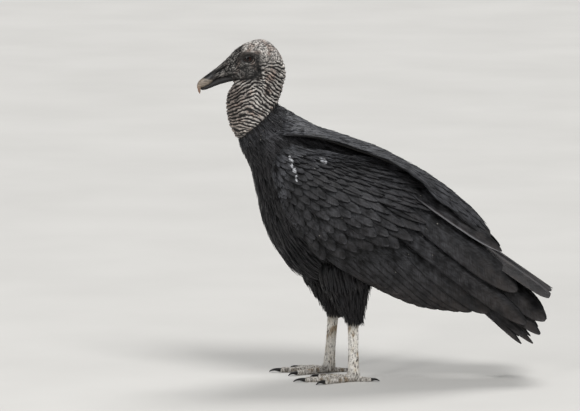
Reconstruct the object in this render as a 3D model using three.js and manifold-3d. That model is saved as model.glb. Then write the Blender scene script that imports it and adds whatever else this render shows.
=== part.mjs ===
// A black vulture standing at rest, life size, as a group of closed bodies in millimetres.
// The bird stands on z = 0 and faces -y, so its left side is +x. Its plane of symmetry is x = 0.
import * as THREE from 'three';
import { mergeVertices } from 'three/addons/utils/BufferGeometryUtils.js';
import Module from 'manifold-3d';

const wasm = await Module();
wasm.setup();

// ---- Driving dimensions ----

const gap = 0.35; // clearance left between neighbouring pieces
const bodySides = 20; // facets round the head, neck and trunk
const ringsPerStation = 2; // rings laid between two stations of a loft
const billSides = 12; // facets round each half of the bill

// Outline of head, neck and trunk in the plane of symmetry, from the cere back to the vent. Each station
// gives a point on the upper outline, the point across from it on the lower one, the half width there, and
// how far up the section its widest place lies.
const bodyStations = [
  { top: [-170, 410], bottom: [-168.5, 396.5], half: 5.6, widest: 0.45 },
  { top: [-161, 417], bottom: [-158, 401], half: 7.6, widest: 0.42 },
  { top: [-150, 427], bottom: [-149, 402], half: 10.5, widest: 0.42 },
  { top: [-137, 440], bottom: [-143, 397], half: 15.5, widest: 0.48 },
  { top: [-121, 449], bottom: [-141, 394], half: 20, widest: 0.55 },
  { top: [-101, 452], bottom: [-143, 391], half: 22.5, widest: 0.58 },
  { top: [-82, 437], bottom: [-146, 386], half: 23.5, widest: 0.55 },
  { top: [-72, 410], bottom: [-150, 377], half: 24.5, widest: 0.5 },
  { top: [-76, 387], bottom: [-151, 360], half: 26, widest: 0.5 },
  { top: [-81, 368], bottom: [-147, 339], half: 29.5, widest: 0.5 },
  { top: [-73, 361], bottom: [-139, 323], half: 35, widest: 0.5 },
  { top: [-54, 347], bottom: [-131, 304], half: 45, widest: 0.5 },
  { top: [-24, 330], bottom: [-119, 279], half: 54, widest: 0.5 },
  { top: [10, 314], bottom: [-111, 243], half: 59, widest: 0.5 },
  { top: [48, 301], bottom: [-101, 203], half: 61, widest: 0.5 },
  { top: [84, 284], bottom: [-80, 164], half: 61, widest: 0.5 },
  { top: [112, 268], bottom: [-44, 136], half: 57, widest: 0.5 },
  { top: [133, 246], bottom: [4, 124], half: 50, widest: 0.52 },
  { top: [148, 222], bottom: [54, 126], half: 38, widest: 0.55 },
  { top: [152, 200], bottom: [96, 140], half: 22, widest: 0.58 },
  { top: [148, 184], bottom: [122, 155], half: 7, widest: 0.6 },
];

// Where the bare head ends at the neck, and the bare neck at the collar of feathers: a point on each parting
// plane and its slope, rising towards the back.
const headParting = { at: [0, -110, 388], slope: 8 };
const collarParting = { at: [0, -108, 347], slope: 41 };

// Bill. The upper one is the horn tip beyond the cere, hooked down over the end of the lower one.
const upperBillStations = [
  { top: [-170.4, 409.7], bottom: [-168.9, 396.2], half: 5.4, widest: 0.45 },
  { top: [-176, 405.6], bottom: [-174.6, 391.6], half: 5.2, widest: 0.45 },
  { top: [-182.4, 401], bottom: [-179.4, 389.5], half: 4.8, widest: 0.45 },
  { top: [-187.4, 396.6], bottom: [-183, 388.6], half: 4, widest: 0.5 },
  { top: [-189.8, 390.6], bottom: [-184.6, 386.2], half: 2.9, widest: 0.5 },
  { top: [-188.6, 384.2], bottom: [-185.2, 382.6], half: 1.6, widest: 0.5 },
  { top: [-186.6, 380], bottom: [-185.8, 379.6], half: 0.6, widest: 0.5 },
];
const lowerBillStations = [
  { top: [-137, 406], bottom: [-136, 397], half: 10, widest: 0.5 },
  { top: [-150, 402], bottom: [-149, 395.5], half: 8.2, widest: 0.5 },
  { top: [-163, 397.4], bottom: [-162, 391.6], half: 5.6, widest: 0.5 },
  { top: [-175, 390.6], bottom: [-174, 386.8], half: 4.2, widest: 0.5 },
  { top: [-181.6, 387.2], bottom: [-181, 384.6], half: 2.6, widest: 0.5 },
];

const eye = {
  at: [13.4, -122, 427.5], radius: 7.4, openingHalf: [5.8, 5.2], openingDepth: 5, openingAhead: 1.5,
};
const nostril = { at: [8.6, -157.5, 411.2], half: [2.2, 4.6, 1.2], slope: -36 };

// Mantle: the cape of back feathers, whose edge overhangs the top of each folded wing. Each row is a place
// along the body, with the height of its ridge, the reach and height of its edge, its thickness at the ridge,
// and how squarely it turns down to the edge.
const mantleRows = [
  { y: -80, ridge: 351, edge: [44, 330], thick: 3, square: 2 },
  { y: -72, ridge: 359, edge: [51, 329], thick: 6, square: 1.9 },
  { y: -52, ridge: 348, edge: [56, 330], thick: 8, square: 1.9 },
  { y: -22, ridge: 331, edge: [58, 328], thick: 8, square: 2.3 },
  { y: 18, ridge: 314, edge: [58, 316], thick: 7, square: 3 },
  { y: 60, ridge: 300, edge: [56, 300], thick: 7, square: 3 },
  { y: 100, ridge: 283, edge: [50, 275], thick: 6, square: 2.4 },
  { y: 140, ridge: 258, edge: [41, 238], thick: 5, square: 2 },
  { y: 178, ridge: 226, edge: [31, 204], thick: 4, square: 2 },
  { y: 202, ridge: 196, edge: [21, 184], thick: 3, square: 2 },
  { y: 214, ridge: 176, edge: [8, 172], thick: 2, square: 2 },
];

// Face of the folded wing seen as a height field: for each place along the body, the height and reach of its
// upper and lower margins, and how far it swells beyond the straight line between them.
const wingRows = [
  { y: -91, upper: [66, 293], lower: [67, 281], swell: 1 },
  { y: -86, upper: [67, 301], lower: [70, 260], swell: 4 },
  { y: -74, upper: [67, 308], lower: [73, 236], swell: 8 },
  { y: -50, upper: [65, 311], lower: [75, 204], swell: 12 },
  { y: -18, upper: [60, 309], lower: [76, 171], swell: 16 },
  { y: 22, upper: [54, 303], lower: [74, 156], swell: 18 },
  { y: 66, upper: [46, 283], lower: [71, 132], swell: 18 },
  { y: 106, upper: [39, 255], lower: [66, 108], swell: 16 },
  { y: 150, upper: [32, 225], lower: [58, 98], swell: 13 },
  { y: 196, upper: [27, 190], lower: [50, 80], swell: 9 },
  { y: 240, upper: [24, 152], lower: [45, 48], swell: 6 },
  { y: 285, upper: [22, 118], lower: [42, 25], swell: 4 },
];
// The arm of the wing with its coverts: its thickness from the wrist back, and the edge of the greater
// coverts in side view, behind which only flight feathers show.
const armThickness = [6, 10, 14, 15, 15, 14, 12, 10, 8];
const greaterCovertEdge = [
  [-16, 150], [-6, 176], [14, 194], [44, 188], [80, 200], [108, 222], [110, 250], [118, 330],
];
const frontOfWing = [[-200, 330], [-200, 150]]; // closes that edge ahead of the wing
const sideReach = 130; // how far an outline in side view is carried out from the plane of symmetry

// Flight feathers of one wing in side view: root, tip, greatest width, how blunt the tip is, and the layer
// each lies in, counted from the outermost. Feathers of one group share a body.
const featherLayer = { first: 1.2, step: 2, thick: 2.2 };
const flightSheet = { fromRow: 0.2, lowest: -0.25, highest: 1.1 }; // part of the wing's face they reach
const tertials = [
  { root: [84, 268], tip: [215, 172], width: 22, blunt: 5, layer: 0 },
  { root: [80, 246], tip: [236, 121], width: 38, blunt: 7, layer: 1 },
  { root: [62, 228], tip: [248, 77], width: 32, blunt: 7, layer: 2 },
];
const secondaries = [
  { root: [-24, 186], tip: [64, 130], width: 34, blunt: 7, layer: 3.2 },
  { root: [-2, 190], tip: [92, 114], width: 38, blunt: 7, layer: 3.2 },
  { root: [20, 192], tip: [119, 103], width: 40, blunt: 7, layer: 3.2 },
  { root: [42, 192], tip: [146, 98], width: 42, blunt: 7, layer: 3.2 },
  { root: [64, 192], tip: [172, 96], width: 42, blunt: 7, layer: 3.2 },
  { root: [90, 190], tip: [198, 95], width: 42, blunt: 7, layer: 3.2 },
];
const primaries = [
  { root: [150, 190], tip: [276, 82], width: 38, blunt: 6, layer: 4.5 },
  { root: [148, 166], tip: [268, 63], width: 24, blunt: 5, layer: 4.5 },
  { root: [150, 146], tip: [258, 50], width: 17, blunt: 3, layer: 4.5 },
  { root: [146, 150], tip: [242, 49], width: 17, blunt: 3, layer: 4.5 },
];

// Tail: rectrices laid like tiles, the middle pair on top.
const tail = {
  root: [112, 236], tip: [284, 117], pairs: 5, rootStep: 2.6, tipStep: 7.4,
  shorter: 1.2, raised: 0.9, drop: 1.7, width: 18, thick: 2.2,
};

// Legs, with the left one a little behind the right. Each gives its ankle and the ball of its foot.
const legs = {
  left: { x: 38, thighTop: [4, 150], ankle: [17, 88], ball: [18, 10], heading: 4 },
  right: { x: -38, thighTop: [-22, 150], ankle: [-8, 88], ball: [-14, 10], heading: -2 },
};
const shankHalf = { wide: 6, deep: 8, waist: 0.16, overBall: 2 };
const thighStations = [
  { up: 1.3, wide: 9, deep: 18 },
  { up: 1.1, wide: 18, deep: 32 },
  { up: 0.7, wide: 22, deep: 32 },
  { up: 0.4, wide: 19, deep: 25 },
  { up: 0.12, wide: 14, deep: 17 },
  { up: -0.1, wide: 10.5, deep: 12 },
  { up: -0.22, wide: 8, deep: 10 },
];
const toes = [
  { turn: 30, length: 48, base: 5, end: 3.6, claw: 12 },
  { turn: 2, length: 66, base: 5.4, end: 3.6, claw: 14 },
  { turn: -30, length: 52, base: 5, end: 3.6, claw: 12 },
  { turn: 172, length: 24, base: 4, end: 3, claw: 10 },
];
const toePad = { sunk: 0.7, knuckles: 4, swell: 0.06, bluntEnd: 0.75 }; // flat underside and joints of a toe
const clawCurve = { bend: 1.1, arch: 0.06, point: 0.5, baseShare: 0.72 };
const footBall = { wide: 7.5, long: 9, high: 9 };

// ---- Helpers ----

// Values between the rows of a list, on a smooth curve through all of them. Each row is a list of numbers.
function smoothRows(rows) {
  return (t) => {
    const place = Math.min(Math.max(t, 0), 1) * (rows.length - 1);
    const i = Math.min(Math.floor(place), rows.length - 2);
    const f = place - i;
    const row = (k) => rows[Math.min(Math.max(k, 0), rows.length - 1)];
    return rows[i].map((_, c) => {
      const [a, b, d, e] = [row(i - 1)[c], row(i)[c], row(i + 1)[c], row(i + 2)[c]];
      return b + 0.5 * f * (d - a + f * (2 * a - 5 * b + 4 * d - e + f * (3 * (b - d) + e - a)));
    });
  };
}

// A solid from points and triangles, turned right side out.
function solidFrom(points, triangles) {
  const volume = triangles.reduce((sum, [a, b, c]) => {
    const cross = new THREE.Vector3().crossVectors(points[b], points[c]);
    return sum + points[a].dot(cross);
  }, 0);
  const facing = volume < 0 ? triangles.map(([a, b, c]) => [a, c, b]) : triangles;
  const vertProperties = Float32Array.from(points.flatMap((p) => [p.x, p.y, p.z]));
  const triVerts = Uint32Array.from(facing.flat());
  return new wasm.Manifold(new wasm.Mesh({ numProp: 3, vertProperties, triVerts }));
}

// Triangles that fill a nearly flat ring of points, wound the way the ring runs.
function fillRing(ring) {
  const normal = new THREE.Vector3();
  ring.forEach((p, i) => normal.add(new THREE.Vector3().crossVectors(p, ring[(i + 1) % ring.length])));
  const flat = new THREE.Quaternion().setFromUnitVectors(normal.normalize(), new THREE.Vector3(0, 0, 1));
  const outline = ring.map((p) => p.clone().applyQuaternion(flat)).map((p) => new THREE.Vector2(p.x, p.y));
  return THREE.ShapeUtils.triangulateShape(outline, []).map((face) => {
    const wound = THREE.ShapeUtils.area(face.map((i) => outline[i])) > 0;
    return wound ? face : face.toReversed();
  });
}

// A closed body through a run of closed rings with the same number of points, its two ends filled.
function bodyThrough(rings) {
  const n = rings[0].length;
  const points = rings.flat();
  const lastRing = points.length - n;
  const triangles = [
    ...fillRing(rings[0]).map((face) => face.toReversed()),
    ...fillRing(rings.at(-1)).map((face) => face.map((i) => i + lastRing)),
  ];
  for (let start = 0; start < lastRing; start += n) {
    for (let i = 0; i < n; i++) {
      const [a, b] = [start + i, start + ((i + 1) % n)];
      triangles.push([a, b, b + n], [a, b + n, a + n]);
    }
  }
  return solidFrom(points, triangles);
}

const joined = (solids) => solids.reduce((sum, solid) => sum.add(solid));
const cutBy = (solid, cutters) => cutters.reduce((rest, cutter) => rest.subtract(cutter), solid);
const shareRange = (count) => Array.from({ length: count + 1 }, (_, i) => i / count);
const largest = (solid) => solid.decompose().sort((a, b) => b.volume() - a.volume())[0];

// A body lofted through stations that each span the plane of symmetry from a top point to a bottom point.
// Its sections are rounded, with the widest place set by the station. grow swells it all round.
function loftStations(stations, sides, perStation, grow = 0) {
  const rows = stations.map((s) => [...s.top, ...s.bottom, s.half, s.widest]);
  const at = smoothRows(rows);
  const rings = shareRange((stations.length - 1) * perStation).map((t) => {
    const [topY, topZ, bottomY, bottomZ, half, widest] = at(t);
    const span = Math.hypot(topY - bottomY, topZ - bottomZ);
    const bend = Math.log(widest) / Math.log(0.5);
    return Array.from({ length: sides }, (_, i) => {
      const angle = (i / sides) * 2 * Math.PI;
      const share = (0.5 + 0.5 * Math.cos(angle)) ** bend * (1 + (2 * grow) / span) - grow / span;
      return new THREE.Vector3(
        Math.sin(angle) * (half + grow),
        THREE.MathUtils.lerp(bottomY, topY, share),
        THREE.MathUtils.lerp(bottomZ, topZ, share),
      );
    });
  });
  return bodyThrough(rings);
}

// A tube of oval section along a list of points, standing no lower than the floor.
function ovalTube(stops, sides) {
  const rings = stops.map(({ at, wide, deep, along }) => {
    const forward = along.clone().normalize();
    const side = new THREE.Vector3().crossVectors(forward, new THREE.Vector3(0, 0, 1));
    if (side.lengthSq() < 0.05) side.set(1, 0, 0);
    side.normalize();
    const up = new THREE.Vector3().crossVectors(side, forward).normalize();
    return Array.from({ length: sides }, (_, i) => {
      const angle = (i / sides) * 2 * Math.PI;
      const p = at.clone().addScaledVector(side, Math.cos(angle) * wide);
      p.addScaledVector(up, Math.sin(angle) * deep);
      p.z = Math.max(p.z, 0);
      return p;
    });
  });
  return bodyThrough(rings);
}

// A sphere scaled to an ellipsoid, turned about x, and set in place.
function ellipsoid(centre, halves, turn = 0, sides = 12) {
  const tilt = new THREE.Matrix4().makeRotationX(THREE.MathUtils.degToRad(turn));
  const stretch = new THREE.Vector3(...halves);
  const middle = new THREE.Vector3(...centre);
  const place = (p) => p.multiply(stretch).applyMatrix4(tilt).add(middle);
  const rings = shareRange(sides / 2).slice(1, -1).map((v) => Array.from({ length: sides }, (_, i) => {
    const angle = (i / sides) * 2 * Math.PI;
    const [r, x] = [Math.sin(v * Math.PI), Math.cos(v * Math.PI)];
    return place(new THREE.Vector3(x, r * Math.cos(angle), r * Math.sin(angle)));
  }));
  return bodyThrough(rings);
}

// A closed three.js geometry as a solid.
function solidOf(geometry) {
  geometry.deleteAttribute('normal');
  geometry.deleteAttribute('uv');
  const merged = mergeVertices(geometry);
  const vertProperties = merged.getAttribute('position').array;
  return new wasm.Manifold(new wasm.Mesh({ numProp: 3, vertProperties, triVerts: merged.index.array }));
}

// An outline in side view, of y and z, carried out to the left of the plane of symmetry.
function sidewaysPrism(outline) {
  const shape = new THREE.Shape(outline.map(([y, z]) => new THREE.Vector2(y, z)));
  const geometry = new THREE.ExtrudeGeometry(shape, { depth: sideReach, bevelEnabled: false });
  const sideways = new THREE.Matrix4().set(0, 0, 1, 0, 1, 0, 0, 0, 0, 1, 0, 0, 0, 0, 0, 1);
  return solidOf(geometry.applyMatrix4(sideways));
}

// ---- Head, neck and trunk ----

// The normal of a parting plane that rises towards the back, and its distance from the origin.
function partingPlane({ at, slope }) {
  const angle = THREE.MathUtils.degToRad(slope);
  const normal = new THREE.Vector3(0, -Math.sin(angle), Math.cos(angle));
  return { normal, offset: normal.dot(new THREE.Vector3(...at)) };
}
function above(solid, parting) {
  const { normal, offset } = partingPlane(parting);
  return solid.trimByPlane(normal.toArray(), offset + gap / 2);
}
function below(solid, parting) {
  const { normal, offset } = partingPlane(parting);
  return solid.trimByPlane(normal.negate().toArray(), -offset + gap / 2);
}

const body = loftStations(bodyStations, bodySides, ringsPerStation);
const bodyGrown = loftStations(bodyStations, bodySides, ringsPerStation, gap);
const upperBill = loftStations(upperBillStations, billSides, 1);
const lowerBill = loftStations(lowerBillStations, billSides, 1);
const lowerBillGrown = loftStations(lowerBillStations, billSides, 1, gap);

function eyeOn(side, grow = 0) {
  const [x, y, z] = eye.at;
  return ellipsoid([side * x, y, z], Array(3).fill(eye.radius + grow));
}
function eyeOpening(side) {
  const [x, y, z] = eye.at;
  const outside = x + eye.radius + eye.openingAhead;
  return ellipsoid([side * outside, y, z], [eye.openingDepth, ...eye.openingHalf]);
}
function nostrilSlit(side) {
  const [x, y, z] = nostril.at;
  return ellipsoid([side * x, y, z], nostril.half, nostril.slope, 8);
}
const headCutters = [1, -1].flatMap((side) => [eyeOn(side, gap), eyeOpening(side), nostrilSlit(side)]);
const head = largest(cutBy(above(body, headParting), [lowerBillGrown, ...headCutters]));
const neck = above(below(body, headParting), collarParting);

// ---- Mantle ----

function mantleBody(grow = 0) {
  const at = smoothRows(mantleRows.map((r) => [r.y, r.ridge, ...r.edge, r.thick, r.square]));
  const sides = 18;
  const rings = shareRange(12).map((t) => {
    const [y, ridge, reach, edgeZ, thick, square] = at(t);
    return Array.from({ length: sides }, (_, i) => {
      const angle = (i / sides) * 2 * Math.PI;
      const across = Math.cos(angle);
      const top = ridge - (ridge - edgeZ) * Math.abs(across) ** square;
      const under = Math.sin(angle) < 0 ? thick * Math.abs(Math.sin(angle)) ** 0.7 : 0;
      const swell = grow * Math.sign(Math.round(10 * Math.sin(angle)));
      return new THREE.Vector3(across * (reach + grow), y, top - under + swell);
    });
  });
  const beyond = (ring, reach) => ring.map((p) => p.clone().setY(p.y + reach));
  const grown = [beyond(rings[0], -grow), ...rings, beyond(rings.at(-1), grow)];
  return bodyThrough(grow > 0 ? grown : rings);
}

// ---- Wings, made for the left side and mirrored ----

const wingAt = smoothRows(wingRows.map((r) => [r.y, ...r.upper, ...r.lower, r.swell]));

// The place on the wing's face at a share t of its rows and a share up between its margins, sunk by depth.
function onWing(t, up, depth) {
  const [y, upperX, upperZ, lowerX, lowerZ, swell] = wingAt(t);
  const x = THREE.MathUtils.lerp(lowerX, upperX, up) + swell * 4 * up * (1 - up);
  return new THREE.Vector3(x - depth, y, THREE.MathUtils.lerp(lowerZ, upperZ, up));
}

// The arm and its coverts as one rounded body.
function wingArm(grow = 0) {
  const thicknessAt = smoothRows(armThickness.map((thick) => [thick]));
  const lastRow = (armThickness.length - 1) / (wingRows.length - 1);
  const sides = 18;
  const rings = shareRange(13).map((t) => Array.from({ length: sides }, (_, i) => {
    const angle = (i / sides) * 2 * Math.PI;
    const up = 0.5 + 0.5 * Math.cos(angle);
    const inner = Math.sin(angle) < 0;
    const depth = inner ? thicknessAt(t)[0] * Math.abs(Math.sin(angle)) ** 0.6 + grow : -grow;
    const p = onWing(t * lastRow, up, depth);
    p.z += grow * Math.cos(angle);
    return p;
  }));
  return bodyThrough(rings);
}

// A sheet of the wing's face at some depth, wide enough for every flight feather.
function wingSheet(depth, thick) {
  const [rows, steps] = [8, 5];
  const { fromRow, lowest, highest } = flightSheet;
  const rings = shareRange(rows).map((s) => {
    const t = THREE.MathUtils.lerp(fromRow, 1, s);
    const ups = shareRange(steps).map((v) => THREE.MathUtils.lerp(lowest, highest, v));
    const outer = ups.map((up) => onWing(t, up, depth));
    const inner = ups.map((up) => onWing(t, up, depth + thick));
    return [...outer, ...inner.reverse()];
  });
  return bodyThrough(rings);
}

// The outline of one feather in side view: near parallel sides and a rounded tip.
function featherOutline({ root, tip, width, blunt }, grow = 0) {
  const shaft = new THREE.Vector2(tip[0] - root[0], tip[1] - root[1]);
  const across = new THREE.Vector2(-shaft.y, shaft.x).normalize();
  const edge = (side) => shareRange(6).map((share) => {
    const s = 1 - (1 - share) ** 2.2;
    const half = (width / 2 + grow) * (1 - s ** blunt) ** 0.6 * (0.8 + 0.2 * Math.min(1, s * 3));
    const reach = s * (1 + grow / shaft.length());
    return [
      root[0] + shaft.x * reach + side * across.x * half,
      root[1] + shaft.y * reach + side * across.y * half,
    ];
  });
  return [...edge(1), ...edge(-1).slice(0, -1).reverse()];
}

function flightFeathers(feathers, grow = 0) {
  const layers = [...new Set(feathers.map((feather) => feather.layer))];
  return joined(layers.map((layer) => {
    const shown = feathers.filter((feather) => feather.layer === layer);
    const prisms = shown.map((feather) => sidewaysPrism(featherOutline(feather, grow)));
    const depth = featherLayer.first + layer * featherLayer.step - grow;
    return wingSheet(depth, featherLayer.thick + 2 * grow).intersect(joined(prisms));
  }));
}

// The arm as far back as the edge of the greater coverts, that edge moved back and down by grow.
function wingCoverts(grow = 0) {
  const edge = greaterCovertEdge.map(([y, z]) => [y + grow, z - grow]);
  return wingArm(grow).intersect(sidewaysPrism([...edge, ...frontOfWing]));
}
const coverts = wingCoverts();
const covertsGrown = wingCoverts(2 * gap);
const tertialsGrown = flightFeathers(tertials, gap);

// ---- Tail ----

// One tail feather, counted outwards from the middle on one side.
function rectrix(i, side, grow) {
  const shaft = (s) => new THREE.Vector3(
    side * i * THREE.MathUtils.lerp(tail.rootStep, tail.tipStep, s),
    THREE.MathUtils.lerp(tail.root[0], tail.tip[0] - i * tail.shorter, s),
    THREE.MathUtils.lerp(tail.root[1], tail.tip[1] + i * tail.raised, s) - i * tail.drop,
  );
  const along = shaft(1).sub(shaft(0));
  const stops = [[0, 0.5], [0.95, 1], [1, 0.75]].map(([s, share]) => (
    { at: shaft(s), wide: (tail.width / 2) * share + grow, deep: tail.thick / 2 + grow, along }
  ));
  return ovalTube(stops, 4);
}

// The whole tail: the middle feather and the pairs beside it.
function tailBody(grow = 0) {
  const feathers = [rectrix(0, 1, grow)];
  for (let i = 1; i <= tail.pairs; i++) feathers.push(rectrix(i, 1, grow), rectrix(i, -1, grow));
  return joined(feathers);
}

// ---- Legs and feet ----

function thighBody(leg, grow = 0) {
  const [top, bottom] = [leg.thighTop, leg.ankle];
  const stops = thighStations.map(({ up, wide, deep }) => ({
    at: new THREE.Vector3(
      leg.x,
      THREE.MathUtils.lerp(bottom[0], top[0], up),
      THREE.MathUtils.lerp(bottom[1], top[1], up),
    ),
    wide: wide + grow,
    deep: deep + grow,
    along: new THREE.Vector3(0, 0, -1),
  }));
  if (grow > 0) stops.at(-1).at.z -= grow;
  return ovalTube(stops, 12);
}

function shankBody(leg, grow = 0) {
  const stops = shareRange(4).map((s) => {
    const slim = 1 - shankHalf.waist * Math.sin(Math.PI * s);
    const footZ = leg.ball[1] + shankHalf.overBall - grow;
    return {
      at: new THREE.Vector3(
        leg.x,
        THREE.MathUtils.lerp(leg.ankle[0], leg.ball[0], s),
        THREE.MathUtils.lerp(leg.ankle[1], footZ, s),
      ),
      wide: shankHalf.wide * slim + grow,
      deep: shankHalf.deep * slim + grow,
      along: new THREE.Vector3(0, 0, -1),
    };
  });
  return ovalTube(stops, 10);
}

// The way a toe points, turned outwards on its own side of the bird.
function toeHeading(leg, toe) {
  const angle = THREE.MathUtils.degToRad(leg.heading + toe.turn);
  return new THREE.Vector3(Math.sign(leg.x) * Math.sin(angle), -Math.cos(angle), 0);
}

function toeBody(leg, toe) {
  const heading = toeHeading(leg, toe);
  const stops = shareRange(4).map((s) => {
    const swell = 1 + toePad.swell * Math.cos(toePad.knuckles * Math.PI * s);
    const radius = THREE.MathUtils.lerp(toe.base, toe.end, s) * swell;
    const blunt = s === 1 ? toePad.bluntEnd : 1;
    const at = new THREE.Vector3(leg.x, leg.ball[0], radius - toePad.sunk);
    at.addScaledVector(heading, s * toe.length);
    return { at, wide: radius * blunt, deep: radius * blunt, along: heading };
  });
  return ovalTube(stops, 7);
}

// A claw, curved down from the end of its toe until its point meets the floor.
function clawBody(leg, toe) {
  const heading = toeHeading(leg, toe);
  const { bend, arch, point, baseShare } = clawCurve;
  const start = new THREE.Vector3(leg.x, leg.ball[0], toe.end - gap);
  start.addScaledVector(heading, toe.length + gap);
  const stops = shareRange(4).map((s) => {
    const at = start.clone().addScaledVector(heading, toe.claw * (Math.sin(s * bend) / Math.sin(bend)));
    at.z += toe.claw * arch * Math.sin(s * Math.PI) - (toe.end - 2 * point) * s * s;
    const along = heading.clone().setZ(-s);
    const radius = THREE.MathUtils.lerp(toe.end * baseShare, point, s);
    return { at, wide: radius, deep: radius, along };
  });
  return ovalTube(stops, 6);
}

function footBody(leg) {
  const { wide, long, high } = footBall;
  const ball = ellipsoid([leg.x, leg.ball[0], high - 1], [wide, long, high], 0, 10);
  const foot = joined([ball.trimByPlane([0, 0, 1], 0), ...toes.map((toe) => toeBody(leg, toe))]);
  return foot.subtract(shankBody(leg, gap));
}

// ---- The whole bird ----

const finishes = {
  bareSkin: { color: 0x4a4544, roughness: 0.75 },
  horn: { color: 0xb9a48c, roughness: 0.45 },
  darkHorn: { color: 0x2f2b29, roughness: 0.5 },
  eye: { color: 0x2a1710, roughness: 0.12 },
  feather: { color: 0x1d1d1f, roughness: 0.6 },
  flightFeather: { color: 0x2a2726, roughness: 0.55 },
  scaledSkin: { color: 0xa9a39a, roughness: 0.8 },
};

const bird = new THREE.Group();

function addPiece(name, solid, finish) {
  const { vertProperties, triVerts } = solid.getMesh();
  const geometry = new THREE.BufferGeometry();
  geometry.setAttribute('position', new THREE.BufferAttribute(vertProperties, 3));
  geometry.setIndex(new THREE.BufferAttribute(triVerts, 1));
  geometry.computeVertexNormals();
  const material = new THREE.MeshStandardMaterial({ metalness: 0, ...finishes[finish] });
  const mesh = new THREE.Mesh(geometry, material);
  mesh.name = name;
  bird.add(mesh);
}

addPiece('head', head, 'bareSkin');
addPiece('neck', neck, 'bareSkin');
addPiece('bill_upper', upperBill, 'horn');
addPiece('bill_lower', lowerBill, 'darkHorn');

const mirrored = (solid) => solid.mirror([1, 0, 0]);
const sides = [['left', 1], ['right', -1]];
const mantleGrown = mantleBody(3 * gap);
const armGrown = wingArm(2 * gap);
const bothSides = (solid) => [solid, mirrored(solid)];
const trunkGrown = below(bodyGrown, collarParting);
const overMantle = [...bothSides(armGrown), ...bothSides(tertialsGrown)];
const flightGroups = {
  tertials: largest(cutBy(flightFeathers(tertials), [covertsGrown])),
  secondaries: largest(cutBy(flightFeathers(secondaries), [covertsGrown])),
  primaries: largest(cutBy(flightFeathers(primaries), [covertsGrown, tailBody(3 * gap)])),
};
const overThigh = [trunkGrown, ...overMantle, ...bothSides(flightFeathers(secondaries, 2 * gap))];
addPiece('trunk', largest(cutBy(below(body, collarParting), [mantleGrown, ...overMantle])), 'feather');
addPiece('mantle', largest(cutBy(mantleBody(), overMantle)), 'feather');

for (const [side, sign] of sides) {
  const onSide = (solid) => (sign > 0 ? solid : mirrored(solid));
  const leg = legs[side];
  addPiece(`eye_${side}`, eyeOn(sign), 'eye');
  addPiece(`wing_coverts_${side}`, onSide(coverts), 'feather');
  for (const [group, solid] of Object.entries(flightGroups)) {
    addPiece(`wing_${group}_${side}`, onSide(solid), 'flightFeather');
  }
  addPiece(`thigh_${side}`, largest(cutBy(thighBody(leg), overThigh)), 'feather');
  addPiece(`shank_${side}`, shankBody(leg).subtract(thighBody(leg, gap)), 'scaledSkin');
  addPiece(`foot_${side}`, footBody(leg), 'scaledSkin');
  toes.forEach((toe, i) => addPiece(`claw_${side}_${i + 1}`, clawBody(leg, toe), 'darkHorn'));
}
const overTail = [trunkGrown, mantleGrown, ...bothSides(tertialsGrown)];
addPiece('tail', largest(cutBy(tailBody(), overTail)), 'flightFeather');

// The origin lies on the floor under the middle of the whole bird.
const extent = new THREE.Box3().setFromObject(bird);
bird.position.set(-(extent.min.x + extent.max.x) / 2, -(extent.min.y + extent.max.y) / 2, -extent.min.z);

export default bird;
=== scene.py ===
import bpy
import numpy as np
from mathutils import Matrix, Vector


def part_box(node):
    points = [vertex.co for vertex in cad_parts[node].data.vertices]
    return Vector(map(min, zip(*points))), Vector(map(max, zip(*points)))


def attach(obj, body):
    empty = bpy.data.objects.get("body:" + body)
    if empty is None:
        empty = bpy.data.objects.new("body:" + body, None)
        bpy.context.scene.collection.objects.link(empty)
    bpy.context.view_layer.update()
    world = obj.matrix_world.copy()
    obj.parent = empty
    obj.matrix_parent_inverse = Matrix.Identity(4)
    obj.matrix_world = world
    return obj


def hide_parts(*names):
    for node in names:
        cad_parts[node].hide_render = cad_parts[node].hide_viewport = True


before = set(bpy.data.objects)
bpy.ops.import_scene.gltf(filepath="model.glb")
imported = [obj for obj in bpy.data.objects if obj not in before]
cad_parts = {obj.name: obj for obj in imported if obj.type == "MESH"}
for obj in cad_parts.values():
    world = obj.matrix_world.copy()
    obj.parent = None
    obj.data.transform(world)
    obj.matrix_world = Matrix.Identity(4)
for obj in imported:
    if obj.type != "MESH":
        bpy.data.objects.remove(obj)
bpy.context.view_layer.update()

# A black vulture at rest. Places are in millimetres in the bird's own scale: x to its left, y to its tail,
# z up from the floor, with y = 0 near the middle of the body. toFrame() brings them into the frame.
mm = 0.001
tipOfHead = -170.0                                    # y of the front of the head in that scale
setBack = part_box("head")[0][1] / mm - tipOfHead       # what brings that scale to the frame
sideNames = {1: "left", -1: "right"}


# Millimetres in the bird's scale to metres in the frame: moved along y by setBack, then scaled.
def toFrame(points):
    return (points + np.array([0.0, setBack, 0.0])) * mm


# Eases from 0 to 1 as x x (3 - 2 x), level at both ends.
def smoothStep(x):
    x = np.clip(x, 0.0, 1.0)
    return x * x * (3 - 2 * x)


# A round hump of height 1: e to the power -x x.
def bell(x):
    return np.exp(-x * x)


# A smooth curve through all the rows: b + f/2 (d - a + f (2a - 5b + 4d - e + f (3(b - d) + e - a))) between
# the rows b and d, with a before and e after them, and f the share of the way. t runs from 0 to 1.
def smoothRows(rows, t):
    rows = np.asarray(rows, float)
    place = np.clip(t, 0, 1) * (len(rows) - 1)
    i = np.minimum(place.astype(int), len(rows) - 2)
    f = (place - i)[..., None]
    a, b, d = rows[np.maximum(i - 1, 0)], rows[i], rows[i + 1]
    e = rows[np.minimum(i + 2, len(rows) - 1)]
    return b + 0.5 * f * (d - a + f * (2 * a - 5 * b + 4 * d - e + f * (3 * (b - d) + e - a)))


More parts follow.
